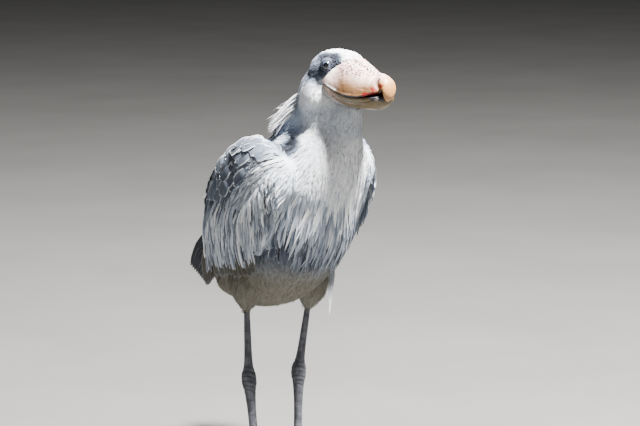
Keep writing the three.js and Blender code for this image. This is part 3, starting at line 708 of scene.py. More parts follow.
def sheets(name, line, outs, plan, finish, uv, tone, warmth, length, width, seed):
    rng = np.random.default_rng(seed)
    strands = plan.get("strands", 1)
    count = line.shape[1] * strands
    line, outs = np.repeat(line, strands, 1), np.repeat(outs, strands, 1)
    length, width, tone, warmth = (np.repeat(np.broadcast_to(v, count // strands), strands)
                                   for v in (length, width, tone, warmth))
    uv = np.repeat(uv, strands, 0)
    outline = np.asarray(plan["outline"], float)
    s = np.asarray(plan.get("rows", np.linspace(0, 1, len(outline))), float)
    x = np.asarray(plan.get("across", [-1, 1]), float)
    p = alongLine(line, s)
    ahead = unit(alongLine(line, np.minimum(s + 0.02, 1)) - alongLine(line, np.maximum(s - 0.02, 0)))
    out = unit(alongLine(outs, s))
    side = unit(np.cross(ahead, out))
    out = np.cross(side, ahead)
    column = s[:, None]
    fan = rng.normal(0, 1, count) * plan.get("fan", 0)
    start = rng.normal(0, 1, count) * plan.get("spread", 0)
    sway = rng.normal(0, 1, count) * plan.get("sway", 0)
    lift = plan.get("lift", 2) * (1 + plan.get("liftVariety", 0.3) * rng.normal(0, 1, count))
    stand = np.abs(plan.get("stand", 0) + rng.normal(0, 1, count) * plan.get("standVariety", 0))
    curl = plan.get("curl", 0)
    short = 1 - np.abs(rng.normal(0, 1, count)) * plan.get("shortening", 0)
    p = line[0] + (p - line[0]) * np.clip(short, 0.4, 1)[None, :, None]
    p = p + side * (start + column * fan * length + column ** 2 * sway * length)[..., None]
    rise = np.minimum(column / 0.22, 1) * (lift + plan.get("sink", 3)) - plan.get("sink", 3)
    rise = rise + stand * length * column - curl * length * column ** 3
    p = p + out * rise[..., None]
    roll = plan.get("roll", 0) + rng.normal(0, 1, count) * plan.get("rollVariety", 0.1)
    half = width / 2 * outline[:, None]
    flat = side * np.cos(roll)[:, None] + out * np.sin(roll)[:, None]
    bowed = np.abs(x) ** 1.6
    points = (p[:, :, None] + flat[:, :, None] * (half[..., None] * x)[..., None]
              - out[:, :, None] * (plan.get("cup", 0.15) * half[..., None] * bowed)[..., None]
              - ahead[:, :, None] * (plan.get("tipRound", 0.0) * column[..., None] ** 4
                                     * width[None, :, None] * x ** 2)[..., None])
    points = points.transpose(1, 0, 2, 3)
    rows, cols = len(s), len(x)
    r, c = np.meshgrid(np.arange(rows - 1), np.arange(cols - 1), indexing="ij")
    corner = (r * cols + c).ravel()
    quads = np.stack([corner, corner + 1, corner + cols + 1, corner + cols], -1)
    chance = rng.random(count)
    made = []
    perPiece = max(1, coatSize["most"] // (2 * len(quads)))
    for number, first in enumerate(range(0, count, perPiece)):
        part = slice(first, min(first + perPiece, count))
        n = part.stop - part.start
        faces = (quads[None] + (np.arange(n) * rows * cols)[:, None, None]).reshape(-1, 4)
        mesh = bpy.data.meshes.new(name)
        mesh.vertices.add(n * rows * cols)
        mesh.vertices.foreach_set("co", toFrame(points[part]).astype(np.float32).ravel())
        mesh.loops.add(faces.size)
        mesh.loops.foreach_set("vertex_index", faces.astype(np.int32).ravel())
        mesh.polygons.add(len(faces))
        mesh.polygons.foreach_set("loop_start", np.arange(0, faces.size, 4, dtype=np.int32))
        mesh.polygons.foreach_set("use_smooth", np.ones(len(faces), bool))
        mesh.update(calc_edges=True)
        piece = bpy.data.objects.new(f"{name}_{number + 1}", mesh)
        bpy.context.scene.collection.objects.link(piece)
        mesh.materials.append(finish)
        shape = (n, rows, cols)
        plume = np.stack([np.broadcast_to(s[None, :, None], shape),
                          np.broadcast_to((x + 1) / 2, shape),
                          np.broadcast_to(chance[part, None, None], shape),
                          np.broadcast_to(tone[part, None, None], shape)], -1)
        setPaint(piece, "plume", plume)
        setValue(piece, "warmth", np.repeat(warmth[part], rows * cols))
        patch = np.stack([np.broadcast_to(uv[part, 0, None, None] + x * 0.0015, shape),
                          np.broadcast_to(uv[part, 1, None, None] + (s[:, None] - 0.5) * 0.003, shape)],
                          -1)
        layer = mesh.uv_layers.new(name="OFBake")
        layer.data.foreach_set("uv", patch.reshape(-1, 2)[faces.ravel()].astype(np.float32).ravel())
        coatSize["faces"] += 2 * len(faces)
        made.append(piece)
    return made


def grow(name, spots, plan, finish, seed):  # a coat over the skin, from its plan
    rng = np.random.default_rng(seed + 500)
    count = len(spots["root"])

    def size(key):
        value = plan[key](spots["root"]) if callable(plan[key]) else np.full(count, float(plan[key]))
        return value * (1 + plan.get("variety", 0.15) * rng.normal(0, 1, count).clip(-2, 2))
    length, width = size("length"), size("width")
    line, outs = trail(spots, length, plan.get("cling", (1, 1, 1, 1)))
    made = sheets(name, line, outs, plan, finish, spots["uv"], toneAt(spots["root"]),
                  warmthAt(spots["root"]), length, width, seed)
    report(f"{name}: {count} roots, {len(made)} pieces, coat now {coatSize['faces']} faces")
    return made


def uvNear(points):
    return faceUv[nearestSkin(points)[1]]


# Bill, shaped and painted.

billMarksAndShade = [  # kind, half of the bill, centre and reach in the head's frame, strength; some dark marks are painted shade
    ("red", "upper", (-30, -170, -44), (12, 10, 6), 1.0),
    ("red", "upper", (-15, -183, -36), (9, 9, 6), 1.0),
    ("red", "upper", (-40, -152, -56), (10, 12, 3.5), 0.8),
    # painted shade in the groove at the nail's base
    ("dark", "upper", (-9, -166, -14), (4, 4, 12), 0.9),
    ("dark", "upper", (-16, -174, -24), (4, 3, 9), 0.9),
    ("dark", "upper", (9, -166, -14), (4, 4, 12), 0.7),
    ("dark", "upper", (-26, -160, -14), (5, 3, 9), 0.6),
    # painted shade of the mouth's gap under the hook, on the lower bill and the hook's flank
    ("dark", "lower", (-20, -174, -62), (28, 20, 13), 1.0),
    ("dark", "upper", (-20, -183, -52), (9, 9, 8), 1.0),
    ("dark", "lower", (-44, 2, -76), (20, 10, 5), 0.45),
    ("dark", "lower", (-50, -22, -84), (12, 10, 5), 0.5),
    ("pale", "upper", (-26, -176, -40), (5, 3, 2.5), 0.9),
    ("pale", "upper", (-30, -10, -16), (34, 34, 30), 0.5),
    ("specks", "upper", (-34, -70, 0), (40, 34, 26), 1.0),
    ("specks", "upper", (-20, -108, -4), (40, 40, 26), 1.0),
    ("specks", "upper", (34, -70, 0), (40, 34, 26), 0.8),
    ("specks", "upper", (20, -108, -4), (40, 40, 26), 0.8),
    ("specks", "upper", (-46, -34, -10), (20, 26, 20), 0.55),
    ("specks", "upper", (0, -140, -6), (34, 22, 16), 0.9),
    ("specks", "upper", (-16, -168, -2), (22, 16, 12), 0.7),
    ("specks", "lower", (-48, -14, -76), (24, 44, 16), 1.0),
    ("specks", "lower", (48, -14, -76), (20, 34, 14), 0.7),
]


def billPaint(piece, upper):
    head = toHead(pointsOf(piece))
    ahead = -head[:, 1]
    edge = billRead("edge", ahead)
    span = billRead("culmen", ahead) - edge if upper else edge - billRead("keel", ahead)
    height = (head[:, 2] - edge) / span
    setPaint(piece, "billAt", np.stack([ahead / 220, height, np.abs(head[:, 0]) / 60, head[:, 0] < 0],
                                       -1))
    marks = {key: np.zeros(len(head)) for key in ("red", "dark", "pale", "specks")}
    for key, on, centre, reach, strength in billMarksAndShade:
        if on == ("upper" if upper else "lower"):
            miss = missOf(head, centre, reach) + 0.12 * wobble(head, 5, 3)
            marks[key] = np.maximum(marks[key], strength * smoothStep(1.25, 0.55, miss))
    rise = head[:, 2] - edge
    if upper:
        marks["red"] = np.maximum(marks["red"],
                                  0.8 * smoothStep(4.5, 1.5, np.abs(rise - 1)) * (head[:, 0] < 0)
                                  * smoothStep(138, 150, ahead) * smoothStep(178, 170, ahead))
        marks["pale"] = np.maximum(marks["pale"], smoothStep(3.2, 1.6, np.abs(rise - 5.5))
                                   * smoothStep(6, 14, ahead) * smoothStep(66, 48, ahead))
        # a painted shade line along the mouth's gap, on the upper bill
        marks["dark"] = np.maximum(marks["dark"],
                                   smoothStep(2.6, 1.0,
                                              np.abs(rise - 0.6)) * smoothStep(170, 150, ahead))
    else:
        # a painted shade line along the mouth's gap, on the lower bill
        marks["dark"] = np.maximum(marks["dark"],
                                   smoothStep(-3.4, -1.6, rise + 0.9) * smoothStep(176, 160, ahead))
    setPaint(piece, "billMark", np.stack([marks[k] for k in ("red", "dark", "pale", "specks")], -1))
    return head, ahead, height


def billFinish(upper):
    made, tree, shader, put = nodeMaker("upperBillHorn" if upper else "lowerBillHorn", 0.42, 0.5)
    shader.inputs["Coat Weight"].default_value = 0.12
    shader.inputs["Coat Roughness"].default_value = 0.3
    shader.inputs["Subsurface Weight"].default_value = 0.08
    shader.inputs["Subsurface Radius"].default_value = (0.01, 0.004, 0.002)
    paint = put("ShaderNodeAttribute", attribute_name="billAt")
    parts = put("ShaderNodeSeparateColor", {0: paint.outputs["Color"]})
    ahead, height = parts.outputs[0], parts.outputs[1]
    place = put("ShaderNodeTexCoord").outputs["Object"]
    cloud = put("ShaderNodeTexNoise", {"Vector": place, "Scale": 26.0, "Detail": 5.0}).outputs[0]
    grainy = put("ShaderNodeTexNoise", {"Vector": place, "Scale": 120.0, "Detail": 6.0,
                                        "Roughness": 0.7}).outputs[0]
    drawn = put("ShaderNodeMapping", {0: place, 3: (160.0, 26.0, 160.0)}).outputs[0]
    streaks = put("ShaderNodeTexNoise", {"Vector": drawn, "Scale": 1.0, "Detail": 4.0}).outputs[0]
    mark = put("ShaderNodeAttribute", attribute_name="billMark")
    marks = put("ShaderNodeSeparateColor", {0: mark.outputs["Color"]})
    if upper:
        base = rampNode(put, cloud, [(0.3, colour(214, 172, 164)), (0.5, colour(232, 208, 202)),
                                     (0.7, colour(190, 150, 154))])
        warm = mathNode(put, "MULTIPLY", mathNode(put, "SUBTRACT", 1.0, stepNode(put, mathNode(
            put, "ADD", height, mathNode(put, "MULTIPLY", cloud, 0.25)), 0.42, 1.08)),
            stepNode(put, ahead, 0.08, 0.34))
        base = mixNode(put, mathNode(put, "MULTIPLY", warm, 0.95), base, colour(92, 60, 10))
        tip = stepNode(put, ahead, 0.74, 0.86)
        base = mixNode(put, mathNode(put, "MULTIPLY", tip, 0.85), base, colour(174, 122, 66))
    else:
        # the lower bill's yellow horn, darkened as painted shade from the upper bill above it
        base = rampNode(put, cloud, [(0.3, colour(70, 56, 16)), (0.55, colour(92, 75, 28)),
                                     (0.75, colour(58, 42, 12))])
        pink = mathNode(put, "SUBTRACT", 1.0, stepNode(put, ahead, 0.1, 0.34))
        base = mixNode(put, mathNode(put, "MULTIPLY", pink, 0.7), base, colour(180, 146, 128))
    base = mixNode(put, mathNode(put, "MULTIPLY", stepNode(put, streaks, 0.52, 0.72),
                                 0.35 if upper else 0.16),
                   base, colour(180, 142, 118))
    medium = put("ShaderNodeTexNoise", {"Vector": place, "Scale": 95.0, "Detail": 4.0,
                                        "Roughness": 0.6})
    bent = put("ShaderNodeVectorMath", {0: medium.outputs["Color"], 1: (0.008, 0.008, 0.008)},
               operation="MULTIPLY")
    bent = put("ShaderNodeVectorMath", {0: place, 1: bent.outputs[0]}, operation="ADD").outputs[0]
    for scale, tint, wide in ((84.0, colour(70, 40, 52), 0.3), (150.0, colour(40, 22, 32), 0.46),
                              (330.0, colour(70, 40, 46), 0.42)):
        spots = put("ShaderNodeTexVoronoi", {"Vector": bent, "Scale": scale, "Randomness": 1.0})
        fleck = mathNode(put, "SUBTRACT", 1.0,
                         stepNode(put, spots.outputs["Distance"], wide - 0.14, wide))
        dense = stepNode(put, mathNode(put, "ADD", grainy,
                                       mathNode(put, "MULTIPLY", mark.outputs["Alpha"], 0.16)),
                         0.5, 0.58)
        flecks = mathNode(put, "MULTIPLY", mathNode(put, "MULTIPLY", fleck, dense),
                          mark.outputs["Alpha"])
        base = mixNode(put, mathNode(put, "MULTIPLY", flecks, 0.92), base, tint)
    rough = mathNode(put, "MULTIPLY", mathNode(put, "SUBTRACT", medium.outputs[0], 0.5), 2.4)
    # pale marks, then dark marks (real marks and painted shade in the mouth's gap and nail groove), then red
    # stains
    for channel, tint, share in ((2, colour(232, 224, 214), 0.9), (1, colour(30, 30, 40), 0.95),
                                 (0, colour(112, 0, 6), 0.97)):
        strength = stepNode(put, mathNode(put, "ADD", marks.outputs[channel], rough), 0.22, 0.66)
        strength = mathNode(put, "MULTIPLY", strength, stepNode(put, marks.outputs[channel], 0.04, 0.2))
        base = mixNode(put, mathNode(put, "MULTIPLY", strength, share), base, tint)
    tree.links.new(base, shader.inputs["Base Color"])
    relief = mathNode(put, "ADD", mathNode(put, "MULTIPLY", grainy, 0.6), streaks)
    bump = put("ShaderNodeBump", {"Height": relief, "Strength": 0.35, "Distance": 0.0012}).outputs[0]
    tree.links.new(bump, shader.inputs["Normal"])
    worn = put("ShaderNodeMapRange", {0: grainy, 3: 0.34, 4: 0.56}).outputs[0]
    tree.links.new(worn, shader.inputs["Roughness"])
    return made


upperBill = newPiece("upperBill", *joinShapes([upperLimb.grid(110, 110), hookLimb.grid(48, 60)]),
                     billFinish(True))
fuse(upperBill, billPlan["grain"], 4)
easeSkin(upperBill, lambda p: smoothStep(150, 172, -toHead(p)[:, 1]), 40)
points = pointsOf(upperBill)
head, ahead, height = billPaint(upperBill, True)
ridge = np.interp(ahead, [0, 150], billPlan["ridgeHalf"])
across = np.abs(head[:, 0])
high = smoothStep(0.62, 0.8, height) * smoothStep(168, 140, ahead)
shift = high * (billPlan["ridgeRise"] * smoothStep(ridge + 1.5, ridge - 1.5, across)
                - billPlan["grooveDepth"] * np.exp(-((across - ridge - 2.4) / 1.7) ** 2))
shift += billPlan["lip"] * smoothStep(0.1, 0.03,
                                      np.abs(height)) * smoothStep(0, 30, ahead) * smoothStep(164, 150, ahead)
nostril = np.exp(-((ahead - 66) / 10) ** 2 - ((across - ridge - 3.0) / 2.2) ** 2) * high
shift -= 5.0 * nostril
nailLine = ahead - (151 + 12 * smoothStep(0.9, 0.0, height))
shift -= 1.6 * np.exp(-(nailLine / 2.2) ** 2) * smoothStep(3, 8, across) * smoothStep(0.3, 0.7, height)
shift += 0.5 * wobble(head, 16, 1) * smoothStep(0.1, 0.4, height) + 0.2 * wobble(head, 6, 2)
movePoints(upperBill, points + normalsOf(upperBill) * shift[:, None])
unwrap(upperBill)
lowerBill = newPiece("lowerBill", *lowerLimb.grid(110, 110), billFinish(False))
fuse(lowerBill, billPlan["grain"], 3)
points = pointsOf(lowerBill)
head, ahead, height = billPaint(lowerBill, False)
shift = -1.4 * np.exp(-((height + 0.42) / 0.07) ** 2) * smoothStep(20, 60, ahead)
shift += 0.4 * wobble(head, 14, 4)
movePoints(lowerBill, points + normalsOf(lowerBill) * shift[:, None])
unwrap(lowerBill)
report(f"bill of {len(upperBill.data.polygons)} and {len(lowerBill.data.polygons)} faces")
billTrees = [treeOf(upperBill), treeOf(lowerBill)]


def clearOfBill(points, room):  # true where a point is outside the bill by more than the room
    clear = np.ones(len(points), bool)
    for tree in billTrees:
        for i, p in enumerate(points.tolist()):
            place, normal, _, far = tree.find_nearest(p)
            if far < room or (Vector(p) - place).dot(normal) < 0:
                clear[i] = False
    return clear


# Eyes and lids.

eyePlan = {"radius": 13, "centre": (47, -6, 0), "look": (0.74, -0.66, 0.1), "pupil": 0.46, "iris": 0.8,
           "openWide": 58, "openHigh": 47, "lidThick": 2.6}


def eyeFinish():
    made, tree, shader, put = nodeMaker("eyeGlass", 0.1, 0.35)
    shader.inputs["Coat Weight"].default_value = 0.35
    shader.inputs["Coat Roughness"].default_value = 0.02
    ring = put("ShaderNodeAttribute", attribute_name="eyeRing")
    parts = put("ShaderNodeSeparateColor", {0: ring.outputs["Color"]})
    far, turn = parts.outputs[0], parts.outputs[1]
    spokes = put("ShaderNodeTexNoise", {"Vector": put("ShaderNodeCombineXYZ", {
        0: mathNode(put, "MULTIPLY", turn, 60.0), 1: mathNode(put, "MULTIPLY", far, 6.0)}).outputs[0],
        "Scale": 1.0, "Detail": 3.0}).outputs[0]
    base = rampNode(put, far, [
        (0.0, colour(8, 9, 12)), (eyePlan["pupil"], colour(10, 11, 15)),
        (eyePlan["pupil"] + 0.03, colour(44, 50, 62)),
        (0.6, colour(76, 86, 100)), (0.72, colour(58, 66, 80)), (eyePlan["iris"], colour(30, 34, 44)),
        (0.95, colour(24, 26, 32))])
    base = mixNode(put, mathNode(put, "MULTIPLY", spokes, 0.4), base, colour(98, 108, 122), "OVERLAY")
    tree.links.new(base, shader.inputs["Base Color"])
    return made


def skinFinish(name, pale, dark, roughness=0.7, scale=300.0, strength=0.5):
    made, tree, shader, put = nodeMaker(name, roughness, 0.35)
    place = put("ShaderNodeTexCoord").outputs["Object"]
    cloud = put("ShaderNodeTexNoise", {"Vector": place, "Scale": 60.0, "Detail": 5.0}).outputs[0]
    scales = put("ShaderNodeTexVoronoi", {"Vector": place, "Scale": scale},
                 feature="DISTANCE_TO_EDGE").outputs["Distance"]
    seam = stepNode(put, scales, 0.0, 0.14)
    base = rampNode(put, cloud, [(0.35, dark), (0.65, pale)])
    base = mixNode(put, mathNode(put, "MULTIPLY", mathNode(put, "SUBTRACT", 1.0, seam), 0.45),
                   base, tuple(0.4 * v for v in dark[:3]) + (1.0,))
    crease = put("ShaderNodeAttribute", attribute_name="crease").outputs["Fac"]
    base = mixNode(put, mathNode(put, "MULTIPLY", crease, 0.7), base,
                   tuple(0.25 * v for v in dark[:3]) + (1.0,))
    tree.links.new(base, shader.inputs["Base Color"])
    bump = put("ShaderNodeBump", {"Height": seam, "Strength": strength, "Distance": 0.0008}).outputs[0]
    tree.links.new(bump, shader.inputs["Normal"])
    return made


def eyeRays(side, theta, phi):  # the eye's axis, and rays at angles off it and around it
    axis = unit(np.array(eyePlan["look"]) * [side, 1, 1])
    across = unit(np.cross(axis, [0, 0, 1.0]))
    up = np.cross(across, axis)
    return axis, (axis * np.cos(theta)[..., None] + across * (np.sin(theta) * np.cos(phi))[..., None]
                  + up * (np.sin(theta) * np.sin(phi))[..., None])


def makeEye(name, side):
    centre = np.array(eyePlan["centre"], float) * [side, 1, 1]
    rings, sides = 40, 64
    theta = np.pi * (np.arange(1, rings) / rings)[:, None]
    phi = (2 * np.pi * np.arange(sides) / sides)[None]
    axis, ray = eyeRays(side, theta, phi)
    bulge = 1 + 0.05 * np.exp(-(theta / 0.5) ** 2)
    points = (centre + ray * eyePlan["radius"] * bulge[..., None]).reshape(-1, 3)
    points = np.concatenate([points, [centre + axis * eyePlan["radius"] * 1.05],
                             [centre - axis * eyePlan["radius"]]])
    faces = ringFaces(rings - 1, sides)
    faces += [[len(points) - 2, (k + 1) % sides, k] for k in range(sides)]
    base = (rings - 2) * sides
    faces += [[len(points) - 1, base + k, base + (k + 1) % sides] for k in range(sides)]
    eye = newPiece(name, fromHead(points), faces, eyeMaterial)
    far = np.concatenate([np.repeat(np.sin(np.minimum(theta[:, 0], np.pi / 2)), sides), [0, 1]])
    turn = np.concatenate([np.tile(phi[0], rings - 1) / (2 * np.pi), [0, 0]])
    setPaint(eye, "eyeRing", np.stack([far, np.abs(turn - 0.5), far * 0, far * 0 + 1], -1))
    unwrap(eye)
    return eye


def makeLids(name, side):
    centre = np.array(eyePlan["centre"], float) * [side, 1, 1]
    sides, steps = 96, 26
    phi = 2 * np.pi * np.arange(sides) / sides
    wide, high = math.radians(eyePlan["openWide"]), math.radians(eyePlan["openHigh"])
    opening = 1 / np.sqrt((np.cos(phi) / wide) ** 2 + (np.sin(phi) / high) ** 2)
    opening = opening * (1 + 0.1 * np.abs(np.cos(phi)) ** 6)
    t = np.linspace(0, 1, steps)[:, None]
    theta = opening + t * (math.radians(122) - opening)
    fold = 0.55 * np.sin(t * 22 + 0.6 * np.sin(phi * 3)) * smoothStep(0.12, 0.3, t) * smoothStep(0.95, 0.5, t)
    fold = fold + 0.16 * np.sin(phi * 31 + 4 * np.sin(phi * 2)) * smoothStep(0.0, 0.2, t)
    r = eyePlan["radius"] + 0.1 + eyePlan["lidThick"] * np.sin(np.minimum(1, t * 5) * np.pi / 2) + fold
    r = r + 2.2 * smoothStep(0.2, 0.7, t)
    _, ray = eyeRays(side, theta, phi)
    points = (centre + ray * r[..., None]).reshape(-1, 3)
    lids = newPiece(name, fromHead(points), ringFaces(steps, sides), lidMaterial)
    unwrap(lids)
    return lids


eyeMaterial = eyeFinish()
lidMaterial = skinFinish("bareLid", colour(64, 70, 84), colour(36, 40, 52), 0.75, 700.0, 0.3)
eyes, lids = {}, {}
for name, side in (("right", -1), ("left", 1)):
    eyes[name] = makeEye(f"eye_of_{name}", side)
    lids[name] = makeLids(f"lids_of_{name}", side)
report("eyes and lids")

# Legs, toes and claws.

legPlan = {
    "grain": 0.0017, "footHeight": 15,
    "reach": {"middle": 172, "inner": 128, "outer": 134, "back": 74},
    "bearing": {"middle": 8, "inner": -20, "outer": 41, "back": 192},
    "thick": {"middle": 8.5, "inner": 7.8, "outer": 7.8, "back": 7.2},
    "scuteLength": 8.5, "scuteRise": 0.7, "ankleRings": 12.0, "shieldLength": 9.5,
}


def shankOf(leg):
    rows = [(0.26, 7, 7.5), (0.5, 8.5, 9), (0.75, 9.5, 10.5), (0.98, 13, 14)]
    return Limb([[*down(leg["knee"], leg["ankle"], s), w, d, d] for s, w, d in rows], (0.02, 0.05))


def tarsusOf(leg):
    rows = [(-0.02, 15, 16, 16), (0.07, 16, 17, 17), (0.18, 12.5, 13.5, 13.5),
            (0.5, 10, 11, 11), (0.85, 11, 12, 12), (0.98, 14, 16, 16), (1.02, 12, 12, 12)]
    return Limb([[*down(leg["ankle"], leg["foot"], s), w, a, b] for s, w, a, b in rows], (0.08, 0.06))


def ankleOf(leg):  # one body over the joint, from the shank on to the tarsus
    above = [(0.7, 9.3, 10), (0.84, 10.5, 11.2), (0.92, 13.5, 14.5), (0.965, 17, 18)]
    below = [(0.02, 18.2, 19), (0.08, 17.8, 18.8), (0.13, 15, 16), (0.2, 13, 14), (0.34, 11, 12)]
    rows = [[*down(leg["knee"], leg["ankle"], s), w, d, d] for s, w, d in above]
    rows += [[*down(leg["ankle"], leg["foot"], s), w, d, d] for s, w, d in below]
    return Limb(rows, (0.04, 0.04))


def toePlace(leg, toe):
    bearing = math.radians(legPlan["bearing"][toe]) * leg["side"]
    way = np.array([math.sin(bearing), -math.cos(bearing), 0])
    return lambda far, high: [*(np.array([leg["foot"][0], leg["foot"][1], 0]) + way * far)[:2], high]


def toeOf(leg, toe):
    place, thick, long = toePlace(leg, toe), legPlan["thick"][toe], legPlan["reach"][toe]
    rows = [(0.0, 1.25, legPlan["footHeight"]), (0.14, 1.1, legPlan["footHeight"] - 3.5),
            (0.36, 1.12, thick * 0.98), (0.48, 0.9, thick * 0.95), (0.66, 1.0, thick * 0.86),
            (0.82, 0.82, thick * 0.8), (1.0, 0.66, thick * 0.62)]
    return Limb([[*place(long * s, h), thick * w, thick * w, thick * w] for s, w, h in rows],
                (0.1, 0.12), 0.9)


def clawOf(leg, toe):
    place, thick, long = toePlace(leg, toe), legPlan["thick"][toe], legPlan["reach"][toe]
    rows = [(-8, 0.6, 4), (0, 0.75, 5), (9, 0.78, 4.2), (18, 0.5, 2.8), (25, 0.2, 1.0)]
    return Limb([[*place(long + far, thick * h), size * 0.75, size, size] for far, h, size in rows],
                (0.2, 0.05))


def ridges(turns, sharp):  # raised bands, one to each whole turn
    return smoothStep(0.5, sharp, np.abs(turns % 1 - 0.5))


legMaterial = skinFinish("legScale", colour(96, 98, 106), colour(56, 57, 64), 0.62, 210.0, 0.7)
clawMaterial = skinFinish("clawHorn", colour(74, 68, 66), colour(36, 34, 36), 0.4, 90.0, 0.15)
legPieces = {}
for name, leg in legs.items():
    toes = {toe: toeOf(leg, toe) for toe in legPlan["reach"]}
    shapes = [shankOf(leg).grid(28, 40), tarsusOf(leg).grid(36, 80), ankleOf(leg).grid(36, 40)]
    shapes += [t.grid(28, 60) for t in toes.values()]
    piece = newPiece(f"leg_{name}", *joinShapes(shapes), legMaterial)
    fuse(piece, legPlan["grain"], 3)
    points = pointsOf(piece)
    shift = np.zeros(len(points))
    for toe, limb in toes.items():  # scutes across the top of each toe
        place = np.array(toePlace(leg, toe)(0, 0))
        way = np.array(toePlace(leg, toe)(1, 0)) - place
        far = (points - place) @ way
        off = np.linalg.norm((points - place - far[:, None] * way)[:, :2], axis=1)
        on = smoothStep(16, 10, off) * smoothStep(14, 24, far) * smoothStep(30, 22, points[:, 2])
        scutes = ridges(far / legPlan["scuteLength"], 0.32) - 0.6
        shift += on * legPlan["scuteRise"] * scutes * smoothStep(3, 8, points[:, 2])
    ankle, foot = np.array(leg["ankle"], float), np.array(leg["foot"], float)
    share = (ankle[2] - points[:, 2]) / (ankle[2] - foot[2])
    on = smoothStep(-0.2, -0.08, share) * smoothStep(0.28, 0.14, share)
    waver = 0.25 * np.sin((points[:,
                                  0] - ankle[0]) * 0.16) + 0.2 * np.sin((points[:, 1] - ankle[1]) * 0.2)
    shift += on * 1.3 * (ridges(points[:, 2] / legPlan["ankleRings"] + waver, 0.3) - 0.7)
    on = smoothStep(0.16, 0.26, share) * smoothStep(0.96, 0.86, share)
    front = smoothStep(4, -4, points[:, 1] - (ankle[1] + (foot[1] - ankle[1]) * share))
    shift += on * front * 0.6 * (ridges(points[:, 2] / legPlan["shieldLength"], 0.36) - 0.6)
    setValue(piece, "crease", smoothStep(-0.2, -0.75, shift))
    points = points + normalsOf(piece) * shift[:, None]
    points[:, 2] = np.maximum(points[:, 2], 0.0)
    movePoints(piece, points)
    unwrap(piece)
    claws = []
    for toe in legPlan["reach"]:
        points, faces = clawOf(leg, toe).grid(20, 24)
        points[:, 2] = np.maximum(points[:, 2], 0.0)
        claw = newPiece(f"claw_of_{toe}_{name}", points, faces, clawMaterial)
        unwrap(claw)
        claws.append((toe, claw))
    legPieces[name] = (piece, claws)
report("legs, toes and claws")

# The coat, zone by zone.

coatFinishes = {
    "short": plumageFinish("shortFeather", variety=0.12, root=0.3, barbs=0.2),
    "neck": plumageFinish("neckFeather", variety=0.16, root=0.35, barbs=0.25),
    "plume": plumageFinish("breastPlume", fringe=0.35, shaft=0.35, variety=0.55, root=0.35),
    "mantle": plumageFinish("mantleFeather", fringe=0.75, shaft=0.35, variety=0.2, root=0.3),
    "shoulder": plumageFinish("shoulderFeather", fringe=0.9, shaft=0.6, variety=0.5, root=0.55),
    "covert": plumageFinish("wingCovert", fringe=0.6, shaft=0.45, variety=0.6, root=0.6),
    "flight": plumageFinish("flightFeather", fringe=0.2, shaft=0.5, variety=0.15, root=0.1,
                            roughness=0.7),
    "down": plumageFinish("bellyDown", variety=0.2, root=0.3, barbs=0.0, roughness=0.95),
}
skin.data.materials.append(coatFinishes["short"])
tones = toneAt(skinPoints)
setPaint(skin, "plume", np.stack([np.full(len(tones), 0.5), np.full(len(tones), 0.35),
                                  np.full(len(tones), 0.35), np.clip(tones + 0.06, 0, 1)], -1))
setValue(skin, "warmth", warmthAt(skinPoints))


def wingZone(p):
    ax = np.abs(p[:, 0])
    edge = ((p[:, 1] < -112) | (p[:, 1] > 95)) & (p[:, 2] > 540)
    return ((ax > 119) | ((ax > 99) & edge)) & (p[:, 1] > -160 + 10 * wobble(p, 24, 3))


def headZone(p):
    return (p[:, 2] > 944 + 6 * wobble(p, 20, 8)) & (p[:, 1] < -105)


def neckZone(p):
    return ~headZone(p) & (p[:, 2] > 838 + 10 * wobble(p, 25, 6)) & (p[:, 1] < -62) & ~wingZone(p)


def backZone(p):
    return ~headZone(p) & ~neckZone(p) & ~wingZone(p) & (p[:, 1] > -95) & (p[:, 2] > 575)


def breastZone(p):
    line = 622 + 100 * smoothStep(60, 118, np.abs(p[:, 0])) + 12 * wobble(p, 30, 2)
    return ~headZone(p) & ~neckZone(p) & ~wingZone(p) & ~backZone(p) & (p[:, 2] > line)


def upperBreastZone(p):
    return breastZone(p) & (p[:, 2] > 728 + 24 * wobble(p, 22, 7))


def lowerBreastZone(p):
    return breastZone(p) & (p[:, 2] < 758 + 24 * wobble(p, 26, 5))


def underZone(p):
    return ~headZone(p) & ~neckZone(p) & ~wingZone(p) & ~backZone(p) & ~breastZone(p)


def flankZone(p):
    return underZone(p) & (p[:, 2] > 545 + 14 * wobble(p, 24, 4)) & (p[:, 1] < 150)


def downZone(p):
    return underZone(p) & ((p[:, 2] < 560) | (p[:, 1] > 140))


def scapularZone(p):
    return wingZone(p) & (p[:, 2] > scapularEdge(p[:, 1]) + 8 * wobble(p, 30, 9))


def shoulderZone(p):
    return wingZone(p) & ~scapularZone(p) & (p[:, 2] > scapularEdge(p[:, 1]) - 96)


def covertZone(p):
    return wingZone(p) & ~scapularZone(p) & ~shoulderZone(p)


eyeSpots = [fromHead(np.array([side * 51.0, -10, 0])) for side in (-1, 1)]


def headLength(p):
    head = toHead(p)
    cheek = smoothStep(-20, -52, head[:, 2])
    nape = smoothStep(40, 90, head[:, 1])
    return 8 + 5 * smoothStep(-50, 10, head[:, 1]) + 7 * cheek + 12 * nape


